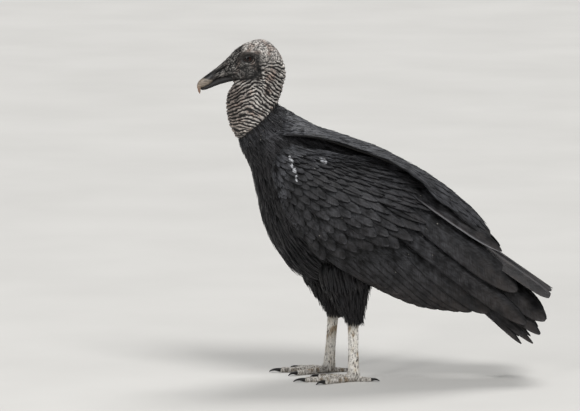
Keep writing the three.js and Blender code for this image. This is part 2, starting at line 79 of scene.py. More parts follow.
# The share t at which the first column of the rows reaches a value, read off a fine table of that curve.
def shareAt(rows, value):
    t = np.linspace(0, 1, 1500)
    return np.interp(value, smoothRows(rows, t)[:, 0], t)


# Random numbers in -1 to 1 that belong to whole-number points, by multiplying and folding their coordinates.
def hashed(i, seed):
    n = i[..., 0] * 374761393 + i[..., 1] * 668265263 + i[..., 2] * 1440662683 + seed * 1274126177
    n = (n ^ (n >> 13)) * 1274126177
    n = n ^ (n >> 16)
    return (n & 0xFFFFFF) / float(0x7FFFFF) - 1.0


# Noise in -1 to 1: the hashed numbers of the eight corners round a point, blended by f f (3 - 2 f).
def noise(points, seed=0):
    corner = np.floor(points).astype(np.int64)
    w = smoothStep(points - corner)
    total = 0.0
    for dx in (0, 1):
        for dy in (0, 1):
            for dz in (0, 1):
                share = np.abs(1 - dx - w[..., 0]) * np.abs(1 - dy - w[..., 1]) * np.abs(1 - dz - w[..., 2])
                total = total + share * hashed(corner + np.array([dx, dy, dz]), seed)
    return total


# Quads that join a grid of points, its rows closed into rings.
def ringFaces(rings, sides, start=0):
    i = np.arange(rings - 1)[:, None] * sides
    j = np.arange(sides)[None, :]
    k = (j + 1) % sides
    return start + np.stack([i + j, i + k, i + sides + k, i + sides + j], -1).reshape(-1, 4)


# Puts a mesh, lamp or camera into the scene as an object of that name.
def addObject(name, data):
    added = bpy.data.objects.new(name, data)
    bpy.context.scene.collection.objects.link(added)
    return added


# A mesh object from points in the bird's scale and lists of faces, with maps and values given for each point.
def makePiece(name, points, faces, material, maps=(), values=()):
    mesh = bpy.data.meshes.new(name)
    corners = np.concatenate([f.ravel() for f in faces]).astype(np.int32)
    sizes = np.concatenate([np.full(len(f), f.shape[1]) for f in faces])
    mesh.vertices.add(len(points))
    mesh.vertices.foreach_set("co", toFrame(points).astype(np.float32).ravel())
    mesh.loops.add(len(corners))
    mesh.loops.foreach_set("vertex_index", corners)
    mesh.polygons.add(len(sizes))
    mesh.polygons.foreach_set("loop_start", (np.cumsum(sizes) - sizes).astype(np.int32))
    mesh.polygons.foreach_set("use_smooth", np.ones(len(sizes), bool))
    mesh.update(calc_edges=True)
    for mapName, uv in dict(maps).items():
        layer = mesh.uv_layers.new(name=mapName)
        layer.uv.foreach_set("vector", uv[corners].astype(np.float32).ravel())
    for valueName, value in dict(values).items():
        addValue(mesh, valueName, value)
    mesh.materials.append(material)
    return addObject(name, mesh)


# Gives the mesh a value at each point, which a material can read.
def addValue(mesh, name, value):
    held = mesh.attributes.new(name, "FLOAT", "POINT")
    held.data.foreach_set("value", value.astype(np.float32).ravel())


# Reads one property of a mesh's points, corners or faces, as a row of the given width for each.
def readAll(items, key, width=1, kind=np.float32):
    held = np.empty(len(items) * width, kind)
    items.foreach_get(key, held)
    return held.reshape(-1, width) if width > 1 else held


# Linear colour from an sRGB hex value: c / 12.92 for dark parts, else ((c + 0.055) / 1.055) to the power 2.4.
def linear(hexColour):
    parts = [int(hexColour[i:i + 2], 16) / 255 for i in (1, 3, 5)]
    return tuple(c / 12.92 if c <= 0.04045 else ((c + 0.055) / 1.055) ** 2.4 for c in parts) + (1.0,)


# Adds a shader node and hands back one of its outputs. Each input takes a value, a hex colour or another
# node's output, stops fill a colour ramp with greys or hex colours, and settings are the node's properties.
def addNode(tree, kind, inputs=(), output=0, stops=(), **settings):
    node = tree.nodes.new("ShaderNode" + kind)
    for key, value in settings.items():
        setattr(node, key, value)
    for key, given in dict(inputs).items():
        if isinstance(given, bpy.types.NodeSocket):
            tree.links.new(given, node.inputs[key])
        else:
            node.inputs[key].default_value = linear(given) if isinstance(given, str) else given
    if stops:
        elements = node.color_ramp.elements
        while len(elements) < len(stops):
            elements.new(0.5)
        for element, (place, colour) in zip(elements, stops):
            element.position = place
            element.color = linear(colour) if isinstance(colour, str) else (colour, colour, colour, 1.0)
    return node.outputs[output]


# A material with one shader, whose own sockets hold the fixed values.
def newMaterial(name, fixed):
    material = bpy.data.materials.new(name)
    material.use_nodes = True
    tree = material.node_tree
    tree.nodes.clear()
    shader = addNode(tree, "BsdfPrincipled", fixed)
    tree.links.new(shader, tree.nodes.new("ShaderNodeOutputMaterial").inputs["Surface"])
    return material, tree, shader.node


# Bare vulture skin: keratinous, wrinkled and dry. The tops of the folds are pale, partly worn and partly a
# painted highlight, and browner and darker on the front of the throat, partly as painted shade; the furrows
# are darkened with dirt and painted shade, so it reads as grey, deeply creased leather. Fine creases are
# about
# 1 mm apart.
def bareSkinMaterial():
    material, tree, shader = newMaterial("bare_wrinkled_skin", {"Roughness": 0.5, "Specular IOR Level": 0.3})
    place = addNode(tree, "TexCoord", output="Object")
    ridge, pale, horny = (addNode(tree, "Attribute", output="Fac", attribute_name=each)
                          for each in ("ridge", "pale", "horny"))
    patches = addNode(tree, "TexNoise", {"Vector": place, "Scale": 75.0, "Detail": 3.0})
    creases = addNode(tree, "TexNoise", {"Vector": place, "Scale": 850.0, "Detail": 4.0})
    pebbles = addNode(tree, "TexVoronoi", {"Vector": place, "Scale": 700.0})
    greyTops = addNode(tree, "ValToRGB", {0: patches},
                       stops=[(0.32, "#cac4bd"), (0.5, "#e2dcd5"), (0.66, "#bba79b")])
    # The front of the throat: browner skin, with darker tops as painted shade on the side away from the
    # light.
    spot = addNode(tree, "SeparateXYZ", {0: place}).node
    forward = addNode(tree, "Math", {0: spot.outputs[1], 1: 10.0, 2: 2.1}, operation="MULTIPLY_ADD")
    inFront = addNode(tree, "ValToRGB", {0: forward}, stops=[(0.2, 1.0), (0.5, 0.0)])
    underJaw = addNode(tree, "Math", {0: spot.outputs[2], 1: 0.392}, operation="LESS_THAN")
    throat = addNode(tree, "Math", {0: inFront, 1: underJaw}, operation="MULTIPLY")
    brownerAndShaded = addNode(tree, "Math", {0: throat, 1: 0.6}, operation="MULTIPLY")
    tops = addNode(tree, "Mix", {0: brownerAndShaded, 6: greyTops, 7: "#9d8577"}, output=2, data_type="RGBA")
    dark = addNode(tree, "ValToRGB", {0: patches}, stops=[(0.3, "#181716"), (0.7, "#272321")])
    # The skin is lighter where the relief stands high: partly worn tops, partly a painted highlight.
    worn = addNode(tree, "Math", {0: creases, 1: 0.8, 2: -0.4}, operation="MULTIPLY_ADD")
    lift = addNode(tree, "Math", {0: ridge, 1: worn}, operation="ADD")
    lightness = addNode(tree, "ValToRGB", {0: lift},
                        stops=[(0.26, 0.0), (0.52, 0.27), (0.8, 0.6), (1.0, 0.95)])
    share = addNode(tree, "Math", {0: lightness, 1: pale}, operation="MULTIPLY")
    colour = addNode(tree, "Mix", {0: share, 6: dark, 7: tops}, output=2, data_type="RGBA")
    # Painted shade and dirt: the low places of the relief are strongly darkened, most in the furrows.
    furrowShade = addNode(tree, "ValToRGB", {0: ridge}, stops=[(0.06, 0.08), (0.5, 1.0)])
    leather = addNode(tree, "Mix", {0: 1.0, 6: colour, 7: furrowShade}, output=2, data_type="RGBA",
                      blend_type="MULTIPLY")
    colour = addNode(tree, "Mix", {0: horny, 6: leather, 7: "#857a6e"}, output=2, data_type="RGBA")
    tree.links.new(colour, shader.inputs["Base Color"])
    relief = addNode(tree, "Math", {0: creases, 1: pebbles}, operation="ADD")
    bump = addNode(tree, "Bump", {"Strength": 0.6, "Distance": 0.0006, "Height": relief})
    tree.links.new(bump, shader.inputs["Normal"])
    return material


# Down between the feathers: loose, matt and almost black, so gaps in the coat read as depth.
def downMaterial():
    material, tree, shader = newMaterial("black_down", {"Roughness": 0.9})
    place = addNode(tree, "TexCoord", output="Object")
    fluff = addNode(tree, "TexNoise", {"Vector": place, "Scale": 500.0, "Detail": 5.0})
    colour = addNode(tree, "ValToRGB", {0: fluff}, stops=[(0.3, "#0c0b0b"), (0.7, "#1a1817")])
    tree.links.new(colour, shader.inputs["Base Color"])
    bump = addNode(tree, "Bump", {"Strength": 0.8, "Distance": 0.001, "Height": fluff})
    tree.links.new(bump, shader.inputs["Normal"])
    return material


# Scaled leg skin: small horny plates about 3 mm across, chalked white by droppings that ran down the shank.
# Dark skin shows faintly in the joints, in flaked pits stretched down the leg and, dustier, on the toes; old
# runs have dried to yellowish brown.
def scaledSkinMaterial():
    material, tree, shader = newMaterial("chalked_leg_scales", {"Roughness": 0.8})
    place = addNode(tree, "TexCoord", output="Object")
    drawn = addNode(tree, "Mapping", {"Vector": place, "Scale": (1.0, 1.0, 0.4)})
    plates = addNode(tree, "TexVoronoi", {"Vector": place, "Scale": 360.0},
                     feature="DISTANCE_TO_EDGE")
    specks = addNode(tree, "TexNoise", {"Vector": drawn, "Scale": 560.0, "Detail": 5.0})
    drifts = addNode(tree, "TexNoise", {"Vector": drawn, "Scale": 130.0, "Detail": 4.0})
    unchalked = addNode(tree, "Attribute", output="Fac", attribute_name="unchalked")
    chalk = addNode(tree, "ValToRGB", {0: drifts},
                    stops=[(0.36, "#a8957c"), (0.44, "#dcd5c9"), (0.58, "#f2eee7"), (0.7, "#cfc8bd")])
    bare = addNode(tree, "ValToRGB", {0: drifts}, stops=[(0.3, "#3c3733"), (0.7, "#5b534b")])
    flaked = addNode(tree, "ValToRGB", {0: specks}, stops=[(0.36, 1.0), (0.45, 0.0)])
    between = addNode(tree, "ValToRGB", {0: plates}, stops=[(0.0, 1.0), (0.1, 0.0)])
    uneven = addNode(tree, "ValToRGB", {0: specks}, stops=[(0.4, 0.7), (0.6, 0.15)])
    joint = addNode(tree, "Math", {0: between, 1: uneven}, operation="MULTIPLY")
    spot = addNode(tree, "SeparateXYZ", {0: place}).node
    height = addNode(tree, "Math", {0: spot.outputs[2], 1: 40.0}, operation="MULTIPLY")
    wavy = addNode(tree, "Math", {0: drifts, 1: -0.4, 2: height}, operation="MULTIPLY_ADD")
    onToes = addNode(tree, "ValToRGB", {0: wavy}, stops=[(0.1, 1.0), (0.5, 0.0)])
    dust = addNode(tree, "ValToRGB", {0: specks}, stops=[(0.42, 1.0), (0.62, 0.35)])
    dusty = addNode(tree, "Math", {0: onToes, 1: dust}, operation="MULTIPLY")
    dusty = addNode(tree, "Math", {0: dusty, 1: 0.8}, operation="MULTIPLY")
    share = flaked
    for other in (joint, unchalked, dusty):
        share = addNode(tree, "Math", {0: share, 1: other}, operation="MAXIMUM")
    colour = addNode(tree, "Mix", {0: share, 6: chalk, 7: bare}, output=2, data_type="RGBA")
    tree.links.new(colour, shader.inputs["Base Color"])
    plateTop = addNode(tree, "ValToRGB", {0: plates}, stops=[(0.0, 0.0), (0.16, 1.0)])
    relief = addNode(tree, "Math", {0: specks, 1: 0.5, 2: plateTop}, operation="MULTIPLY_ADD")
    bump = addNode(tree, "Bump", {"Strength": 0.7, "Distance": 0.0006, "Height": relief})
    tree.links.new(bump, shader.inputs["Normal"])
    return material


# Bill horn: keratin worn smooth, pale and faintly streaked lengthwise, pinker at the hook.
def hornMaterial():
    material, tree, shader = newMaterial("worn_bill_horn", {"Roughness": 0.42})
    place = addNode(tree, "TexCoord", output="Object")
    towardTip = addNode(tree, "Attribute", output="Fac", attribute_name="towardTip")
    streaky = addNode(tree, "Mapping", {"Vector": place, "Rotation": (np.radians(-38), 0.0, 0.0),
                                                  "Scale": (900.0, 120.0, 900.0)})
    streaks = addNode(tree, "TexNoise", {"Vector": streaky, "Scale": 1.0, "Detail": 4.0})
    length = addNode(tree, "ValToRGB", {0: towardTip},
                     stops=[(0.0, "#141313"), (0.3, "#2b2725"), (0.42, "#6d655c"), (0.6, "#8f867a"),
                            (0.85, "#a08c79"), (1.0, "#8f6a57")])
    dark = addNode(tree, "ValToRGB", {0: streaks}, stops=[(0.35, 0.3), (0.6, 1.0)])
    colour = addNode(tree, "Mix", {0: 0.8, 6: length, 7: dark}, output=2, data_type="RGBA",
                     blend_type="MULTIPLY")
    tree.links.new(colour, shader.inputs["Base Color"])
    bump = addNode(tree, "Bump", {"Strength": 0.35, "Distance": 0.0003, "Height": streaks})
    tree.links.new(bump, shader.inputs["Normal"])
    return material


# Dark horn of the lower bill and the claws: smooth black keratin with a dull shine and scratched tips.
def darkHornMaterial():
    material, tree, shader = newMaterial("black_horn", {"Roughness": 0.45, "Specular IOR Level": 0.3})
    place = addNode(tree, "TexCoord", output="Object")
    scratches = addNode(tree, "TexNoise", {"Vector": place, "Scale": 600.0, "Detail": 5.0})
    colour = addNode(tree, "ValToRGB", {0: scratches},
                     stops=[(0.3, "#0b0a0a"), (0.55, "#151312"), (0.75, "#2c2825")])
    tree.links.new(colour, shader.inputs["Base Color"])
    bump = addNode(tree, "Bump", {"Strength": 0.3, "Distance": 0.0003, "Height": scratches})
    tree.links.new(bump, shader.inputs["Normal"])
    return material


# Eye: a black pupil in a dark red-brown iris with fine spokes, under a wet clear cornea.
def eyeMaterial():
    material, tree, shader = newMaterial("wet_brown_eye", {
        "Roughness": 0.12, "Specular IOR Level": 0.1,
        "Coat Weight": 0.6, "Coat Roughness": 0.02, "Coat IOR": 1.34})
    place = addNode(tree, "TexCoord", output="Object")
    outwards, spokes = (addNode(tree, "Attribute", output="Fac", attribute_name=each)
                        for each in ("outwards", "spokes"))
    fibres = addNode(tree, "TexNoise", {"Vector": place, "Scale": 1500.0, "Detail": 3.0})
    grain = addNode(tree, "Math", {0: fibres, 1: 0.08, 2: outwards}, operation="MULTIPLY_ADD")
    spoked = addNode(tree, "Math", {0: spokes, 1: 0.02, 2: grain}, operation="MULTIPLY_ADD")
    colour = addNode(tree, "ValToRGB", {0: spoked},
                     stops=[(0.0, "#020202"), (0.4, "#030202"), (0.46, "#1a0a06"), (0.6, "#351509"),
                            (0.72, "#140805"), (0.8, "#060404")])
    tree.links.new(colour, shader.inputs["Base Color"])
    return material


# Feather vane: black barbs laid at a slant from the shaft, hooked into a smooth web. Melanin makes it black
# and the web's fine ridges give a soft grey shine. Where its neighbours cover it, it is painted near black as
# painted shade. Edges and tips wear paler, old vanes turn brown, the top tertial's rolled edge is painted
# pale grey as a painted highlight, and bluish dust, partly a painted sheen, and cream flecks lie on top.
# Barbs are 0.3 mm apart in life and are drawn about 0.6 mm apart so that they show.
def featherMaterial(name, dark, light, rim, brown):
    material, tree, shader = newMaterial(name, {"Roughness": 0.44, "Specular IOR Level": 0.16,
                                                "Sheen Weight": 0.02, "Sheen Roughness": 0.4})
    place = addNode(tree, "TexCoord", output="Object")
    vane = addNode(tree, "UVMap", uv_map="vane")
    aside, along = addNode(tree, "SeparateXYZ", {0: vane}).node.outputs[:2]
    tone, edge, worn, dusty, unshaded = (addNode(tree, "Attribute", output="Fac", attribute_name=each)
                                      for each in ("tone", "edge", "worn", "dusty", "unshaded"))
    own = addNode(tree, "Math", {0: tone, 1: 40.0}, operation="MULTIPLY")

    # Where a pattern is read: two places on the vane times their rates per metre, and the vane's own number.
    def onVane(first, firstRate, second, secondRate):
        drawn = [addNode(tree, "Math", {0: way, 1: rate}, operation="MULTIPLY")
                 for way, rate in ((first, firstRate), (second, secondRate))]
        return addNode(tree, "CombineXYZ", {0: drawn[0], 1: drawn[1], 2: own})

    fromShaft = addNode(tree, "Math", {0: aside}, operation="ABSOLUTE")
    alongBarb = addNode(tree, "Math", {0: fromShaft, 1: -0.95, 2: along}, operation="MULTIPLY_ADD")
    barbs = addNode(tree, "TexNoise", {
        "Vector": onVane(alongBarb, 1600.0, aside, 70.0), "Scale": 1.0, "Detail": 3.0})
    film = addNode(tree, "TexNoise", {
        "Vector": onVane(aside, 420.0, along, 110.0), "Scale": 1.0, "Detail": 5.0})
    flecks = addNode(tree, "TexVoronoi", {
        "Vector": onVane(aside, 430.0, along, 230.0), "Scale": 1.0})
    cloud = addNode(tree, "TexNoise", {"Vector": place, "Scale": 60.0, "Detail": 5.0})

    # The vane's colours: barbs and rim paler, old parts brown, and pale grey where worn passes 1, which is a
    # painted highlight on the top tertial's rolled edge and paler edges on the tail; covered parts are
    # painted near black as painted shade.
    streaky = addNode(tree, "ValToRGB", {0: barbs}, stops=[(0.4, 0.0), (0.75, 0.4)])
    atEdge = addNode(tree, "ValToRGB", {0: edge}, stops=[(0.7, 0.0), (1.0, 0.9)])
    fringe = addNode(tree, "Math", {0: atEdge, 1: cloud}, operation="MULTIPLY")
    inPatches = addNode(tree, "ValToRGB", {0: cloud}, stops=[(0.3, 0.0), (0.65, 1.0)])
    aged = addNode(tree, "Math", {0: worn, 1: inPatches}, operation="MULTIPLY")
    highlightAndPaleEdge = addNode(tree, "Math", {0: worn, 1: 1.0}, operation="SUBTRACT", use_clamp=True)
    colour = dark
    for share, layer in ((tone, light), (streaky, rim), (fringe, rim), (aged, brown), (highlightAndPaleEdge, "#87878b")):
        colour = addNode(tree, "Mix", {0: share, 6: colour, 7: layer}, output=2, data_type="RGBA")
    # Painted shade: where neighbours cover the vane, its colour goes to near black.
    colour = addNode(tree, "Mix", {0: unshaded, 6: "#030303", 7: colour}, output=2, data_type="RGBA")

    # What lies on it: powder that fills the barbs' furrows, which is dust and also a painted sheen where the
    # coat's upper parts face the sky, a few flecks, and white splashes.
    halfFilm = addNode(tree, "Math", {0: film, 1: 0.5}, operation="MULTIPLY")
    spread = addNode(tree, "Math", {0: cloud, 1: 0.5, 2: halfFilm}, operation="MULTIPLY_ADD")
    thick = addNode(tree, "ValToRGB", {0: spread}, stops=[(0.41, 0.0), (0.63, 0.8)])
    combed = addNode(tree, "ValToRGB", {0: barbs}, stops=[(0.35, 0.3), (0.65, 1.0)])
    powderAndSheen = addNode(tree, "Math", {0: thick, 1: dusty}, operation="MULTIPLY")
    powderAndSheen = addNode(tree, "Math", {0: powderAndSheen, 1: combed}, operation="MULTIPLY")
    broken = addNode(tree, "Math", {0: cloud, 1: 0.5, 2: flecks}, operation="MULTIPLY_ADD")
    size = addNode(tree, "ValToRGB", {0: broken}, stops=[(0.3, 1.0), (0.46, 0.0)])
    drawn = addNode(tree, "SeparateColor", {0: flecks.node.outputs["Color"]}).node
    chance, strength = drawn.outputs[:2]
    likely = addNode(tree, "Math", {0: dusty, 1: 0.2, 2: chance}, operation="MULTIPLY_ADD")
    few = addNode(tree, "Math", {0: likely, 1: 1.07}, operation="GREATER_THAN")
    fleck = addNode(tree, "Math", {0: size, 1: few}, operation="MULTIPLY")
    fleck = addNode(tree, "Math", {0: fleck, 1: strength}, operation="MULTIPLY")
    limed = addNode(tree, "Math", {0: splashShare(tree, place), 1: 0.85}, operation="MULTIPLY")
    for share, layer in ((powderAndSheen, "#6b6c71"), (fleck, "#b3aea4"), (limed, "#c3c4c8")):
        colour = addNode(tree, "Mix", {0: share, 6: colour, 7: layer}, output=2, data_type="RGBA")
    tree.links.new(colour, shader.inputs["Base Color"])
    bump = addNode(tree, "Bump", {"Strength": 0.8, "Distance": 0.0003, "Height": barbs})
    tree.links.new(bump, shader.inputs["Normal"])
    return material


# White droppings dried on the left shoulder, as runs in side view, each with its ends and half width.
splash = {
    "runs": [((-66.4, 303.0), (-64.4, 296.0), 2.0), ((-64.4, 296.0), (-63.6, 289.0), 1.3),
             ((-62.0, 288.0), (-59.4, 283.0), 2.1), ((-58.6, 279.0), (-57.9, 273.0), 1.3),
             ((-24.5, 299.5), (-20.5, 296.5), 2.8), ((-28.0, 300.5), (-25.0, 300.5), 1.2)],
    "ragged": 6.9,      # how far the noise moves the rim, from end to end
    "sharp": 1300.0,    # how fast the rim fades, per metre
    "side": 0.03,       # only where x is more than this, in metres
}


# For each run from a to b, the distance from the point to its nearest place on the run, roughened by noise
# and cut off at the run's half width. The nearest place is a + run times (point - a) . run / (run . run).
def splashShare(tree, place):
    x, y, z = addNode(tree, "SeparateXYZ", {0: place}).node.outputs
    flat = addNode(tree, "CombineXYZ", {1: y, 2: z})
    rough = addNode(tree, "TexNoise", {"Vector": place, "Scale": 300.0, "Detail": 5.0})
    centred = addNode(tree, "Math", {0: rough, 1: 0.5}, operation="SUBTRACT")
    total = 0.0
    for (ay, az), (by, bz), half in splash["runs"]:
        a = toFrame(np.array([0.0, ay, az])) * np.array([0, 1, 1])
        run = np.array([0.0, by - ay, bz - az]) * mm
        toPoint = addNode(tree, "VectorMath", {0: flat, 1: tuple(a)}, operation="SUBTRACT")
        dot = addNode(tree, "VectorMath", {0: toPoint, 1: tuple(run)}, output="Value",
                      operation="DOT_PRODUCT")
        share = addNode(tree, "Math", {0: dot, 1: float(run @ run)}, operation="DIVIDE",
                        use_clamp=True)
        nearest = addNode(tree, "VectorMath", {0: tuple(run), "Scale": share}, operation="SCALE")
        off = addNode(tree, "VectorMath", {0: toPoint, 1: nearest}, output="Value",
                      operation="DISTANCE")
        ragged = addNode(tree, "Math", {0: centred, 1: splash["ragged"] * mm, 2: off},
                         operation="MULTIPLY_ADD")
        within = addNode(tree, "Math", {0: half * mm, 1: ragged}, operation="SUBTRACT")
        inside = addNode(tree, "Math", {0: within, 1: splash["sharp"]}, operation="MULTIPLY",
                         use_clamp=True)
        total = addNode(tree, "Math", {0: total, 1: inside}, operation="MAXIMUM")
    flaking = addNode(tree, "ValToRGB", {0: rough}, stops=[(0.4, 1.0), (0.62, 0.25)])
    onLeft = addNode(tree, "Math", {0: x, 1: splash["side"]}, operation="GREATER_THAN")
    for share in (flaking, onLeft):
        total = addNode(tree, "Math", {0: total, 1: share}, operation="MULTIPLY")
    return total


skinSurface = bareSkinMaterial()
downSurface = downMaterial()
scaleSurface = scaledSkinMaterial()
hornSurface = hornMaterial()
darkHornSurface = darkHornMaterial()
eyeSurface = eyeMaterial()
featherSurface = featherMaterial("black_body_feather", "#080809", "#161617", "#434347", "#2b2521")
flightSurface = featherMaterial("worn_flight_feather", "#0c0c0d", "#181819", "#39393c", "#39322d")
print("materials made")

# One row for each section through head, neck and trunk: its top point, its bottom point, its half width, and
# how far up its widest place lies.
bodyRows = [
    [-170, 410, -168.5, 396.5, 5.6, 0.45], [-161, 417, -158, 401, 7.6, 0.42],
    [-150, 427, -149, 402, 10.5, 0.42],
    [-137, 440, -143, 397, 15.5, 0.48], [-121, 449, -141, 394, 20, 0.55], [-101, 452, -143, 391, 22.5, 0.58],
    [-82, 437, -146, 386, 23.5, 0.55], [-72, 410, -150, 377, 24.5, 0.5], [-76, 387, -151, 360, 26, 0.5],
    [-81, 368, -147, 339, 29.5, 0.5], [-73, 361, -139, 323, 35, 0.5], [-54, 347, -131, 304, 45, 0.5],
    [-24, 330, -119, 279, 54, 0.5], [10, 314, -111, 243, 59, 0.5], [48, 301, -101, 203, 61, 0.5],
    [84, 284, -80, 164, 61, 0.5], [112, 268, -44, 136, 57, 0.5], [133, 246, 4, 124, 50, 0.52],
    [148, 222, 54, 126, 38, 0.55], [152, 200, 96, 140, 22, 0.58], [148, 184, 122, 155, 7, 0.6],
]
collar = {"at": (-108.0, 347.0), "slope": np.radians(41)}   # where the bare neck meets the feathers


# A point of the body: x = half sin a, and y and z on the line from bottom to top at the share
# (0.5 + 0.5 cos a) to the power ln(widest) / ln(0.5). grow swells it all round.
def bodyAt(t, angle, grow=0.0):
    topY, topZ, bottomY, bottomZ, half, widest = np.moveaxis(smoothRows(bodyRows, t), -1, 0)
    span = np.hypot(topY - bottomY, topZ - bottomZ)
    share = (0.5 + 0.5 * np.cos(angle)) ** (np.log(widest) / np.log(0.5))
    share = share * (1 + 2 * grow / span) - grow / span
    y = bottomY + (topY - bottomY) * share
    z = bottomZ + (topZ - bottomZ) * share
    return np.stack(np.broadcast_arrays(np.sin(angle) * (half + grow), y, z), -1)


# Height above the collar's plane, which rises towards the back: positive on the bare neck.
def aboveCollar(points):
    y0, z0 = collar["at"]
    return (points[..., 2] - z0) * np.cos(collar["slope"]) - (points[..., 1] - y0) * np.sin(collar["slope"])


# Outward unit normals of a surface of two parameters: the cross product of its slopes, times a sign.
def normalsOf(surface, u, v, du, dv, sign):
    alongU = surface(u + du, v) - surface(u - du, v)
    alongV = surface(u, v + dv) - surface(u, v - dv)
    n = np.cross(alongU, alongV) * sign
    return n / np.maximum(np.linalg.norm(n, axis=-1, keepdims=True), 1e-9)


eye = {"at": (13.4, -122.0, 427.8), "radius": 7.6, "opening": (5.6, 4.2), "lidHalf": 0.85,
       "facing": (1.0, -0.12, 0.02), "cornea": (0.035, 0.55)}   # its swell, and its spread in radians
nostril = {"at": (-157.7, 412.8), "slope": np.radians(33.5), "half": (7.6, 0.75), "depth": 1.5}
horn = {"edge": (-174.0, 399.6), "facing": (0.2, 0.98), "fade": 9.0}   # where the cere gives way to horn
billSlope = 0.58                                      # how steeply the bill's ridge climbs, in radians
goldenTurn = 2.399963                                 # the angle between neighbouring seeds of a sunflower
folds = {
    "kernels": 900, "seed": 5, "period": 4.5, "across": 4.3, "along": 6.0, "settle": 2, "height": 2.5,
    "rows": (3.2, 8.0),                               # the first body row that has dots, and how many rows
    "apex": (-134.0, 338.0, 2.28),                    # y, z and steepness of the line the folds arch over
    "back": ([330, 345, 360, 373, 390, 403, 416, 428], [0.05, 0.2, 0.6, 1.1, 1.1, 0.85, 0.4, 0.15]),
    "front": ([335, 350, 370, 385, 398], [0.2, 0.45, 0.7, 0.8, 0.8]),
}


# How far y, z lies from the run of straight pieces through the given points in side view: the least of the
# distances to a + share (b - a), with share = (p - a) . (b - a) / |b - a|^2 held between 0 and 1.
def distanceToRun(y, z, run):
    nearest = np.full(y.shape, 1e9)
    for (ay, az), (by, bz) in zip(run[:-1], run[1:]):
        along = (y - ay) * (by - ay) + (z - az) * (bz - az)
        share = np.clip(along / ((by - ay) ** 2 + (bz - az) ** 2), 0, 1)
        nearest = np.minimum(nearest, np.hypot(y - ay - share * (by - ay), z - az - share * (bz - az)))
    return nearest


# Distance from each point to the nearest dot, with one dot scattered in each unit cell, and the dot's own
# random number from 0 to 1.
def scattered(points, seed):
    corner = np.floor(points).astype(np.int64)
    nearest, number = np.full(points.shape[:-1], 9.0), np.zeros(points.shape[:-1])
    for k in range(27):
        cell = corner + np.array([k % 3 - 1, k // 3 % 3 - 1, k // 9 - 1])
        dot = np.stack([hashed(cell, seed + i) for i in range(3)], -1) * 0.42 + 0.5 + cell
        off = np.linalg.norm(points - dot, axis=-1)
        closer = off < nearest
        nearest = np.where(closer, off, nearest)
        number = np.where(closer, hashed(cell, seed + 3) * 0.5 + 0.5, number)
    return nearest, number


# How steeply the neck's folds climb towards the back, as dz / dy. They arch over a leaning line: minus
# s / sqrt(1 + s^2) times the steepness in front of or behind it, where s is the distance from the line over
# 7 mm.
def foldSlope(y, z):
    apexY, apexZ, steep = folds["apex"]
    s = (y - apexY - (z - apexZ) / steep) / 7
    steepness = np.where(s > 0, np.interp(z, *folds["back"]), np.interp(z, *folds["front"]))
    return -s / np.sqrt(1 + s * s) * steepness


# Dots spread over the neck, each with a small wave across the folds there: exp(i (rate across + phase)) under
# a bell that is longer along the folds. The phases are drawn together by taking, over and over, the angle of
# the waves' sum at each dot. The angle of the sum at a point then says where it lies between two folds, with
# folds that run long, fork and end.
def foldWaves():
    rng = np.random.default_rng(folds["seed"])
    rows = len(bodyRows) - 1
    number = np.arange(folds["kernels"])
    t = (folds["rows"][0] + folds["rows"][1] * number / folds["kernels"]) / rows
    angle = number * goldenTurn % (2 * np.pi)
    at = bodyAt(t, angle)
    normal = normalsOf(bodyAt, t, angle, 1e-4, 1e-3, -1)
    slope = foldSlope(at[:, 1], at[:, 2])
    outward = np.where(normal[:, 0] < 0, np.minimum(normal[:, 0], -0.12), np.maximum(normal[:, 0], 0.12))
    along = np.stack([-(normal[:, 1] + slope * normal[:, 2]) / outward, 0 * t + 1, slope], -1)
    along /= np.linalg.norm(along, axis=1, keepdims=True)
    waves = {"at": at, "across": np.cross(normal, along), "along": along, "normal": normal,
             "phase": rng.uniform(0, 2 * np.pi, folds["kernels"]),
             "rate": 2 * np.pi / folds["period"] * (1 + 0.17 * rng.normal(size=folds["kernels"]))}
    for _ in range(folds["settle"]):
        waves["phase"] = np.angle(waveSum(at, waves, skipOwn=True))
    return waves


# The sum of those waves at the points, taken a block at a time with the dots within 15 mm of the block.
def waveSum(points, waves, skipOwn=False):
    total = np.empty(len(points), complex)
    for start in range(0, len(points), 1024):
        part = points[start:start + 1024]
        middle, halfSize = (part.min(0) + part.max(0)) / 2, (part.max(0) - part.min(0)) / 2
        close = (np.abs(waves["at"] - middle) < halfSize + 15).all(1) | skipOwn
        offset = part[:, None] - waves["at"][None, close]
        across, along, off = ((offset * waves[key][close]).sum(-1) for key in ("across", "along", "normal"))
        weight = np.exp(-(across / folds["across"]) ** 2 - (along / folds["along"]) ** 2 - (off / 6.0) ** 2)
        if skipOwn:
            np.fill_diagonal(weight, 0.0)
        wave = np.exp(1j * (waves["rate"][close] * across + waves["phase"][close]))
        total[start:start + 1024] = (weight * wave).sum(1)
    return total


# Where the cere's dark skin gives way to horn: the distance past the edge line, over the fade.
def pastCere(points):
    y, z = points[..., 1], points[..., 2]
    past = -(y - horn["edge"][0]) * horn["facing"][0] - (z - horn["edge"][1]) * horn["facing"][1]
    return (past + 0.7 * noise(points / 2.0, 23)) / horn["fade"]
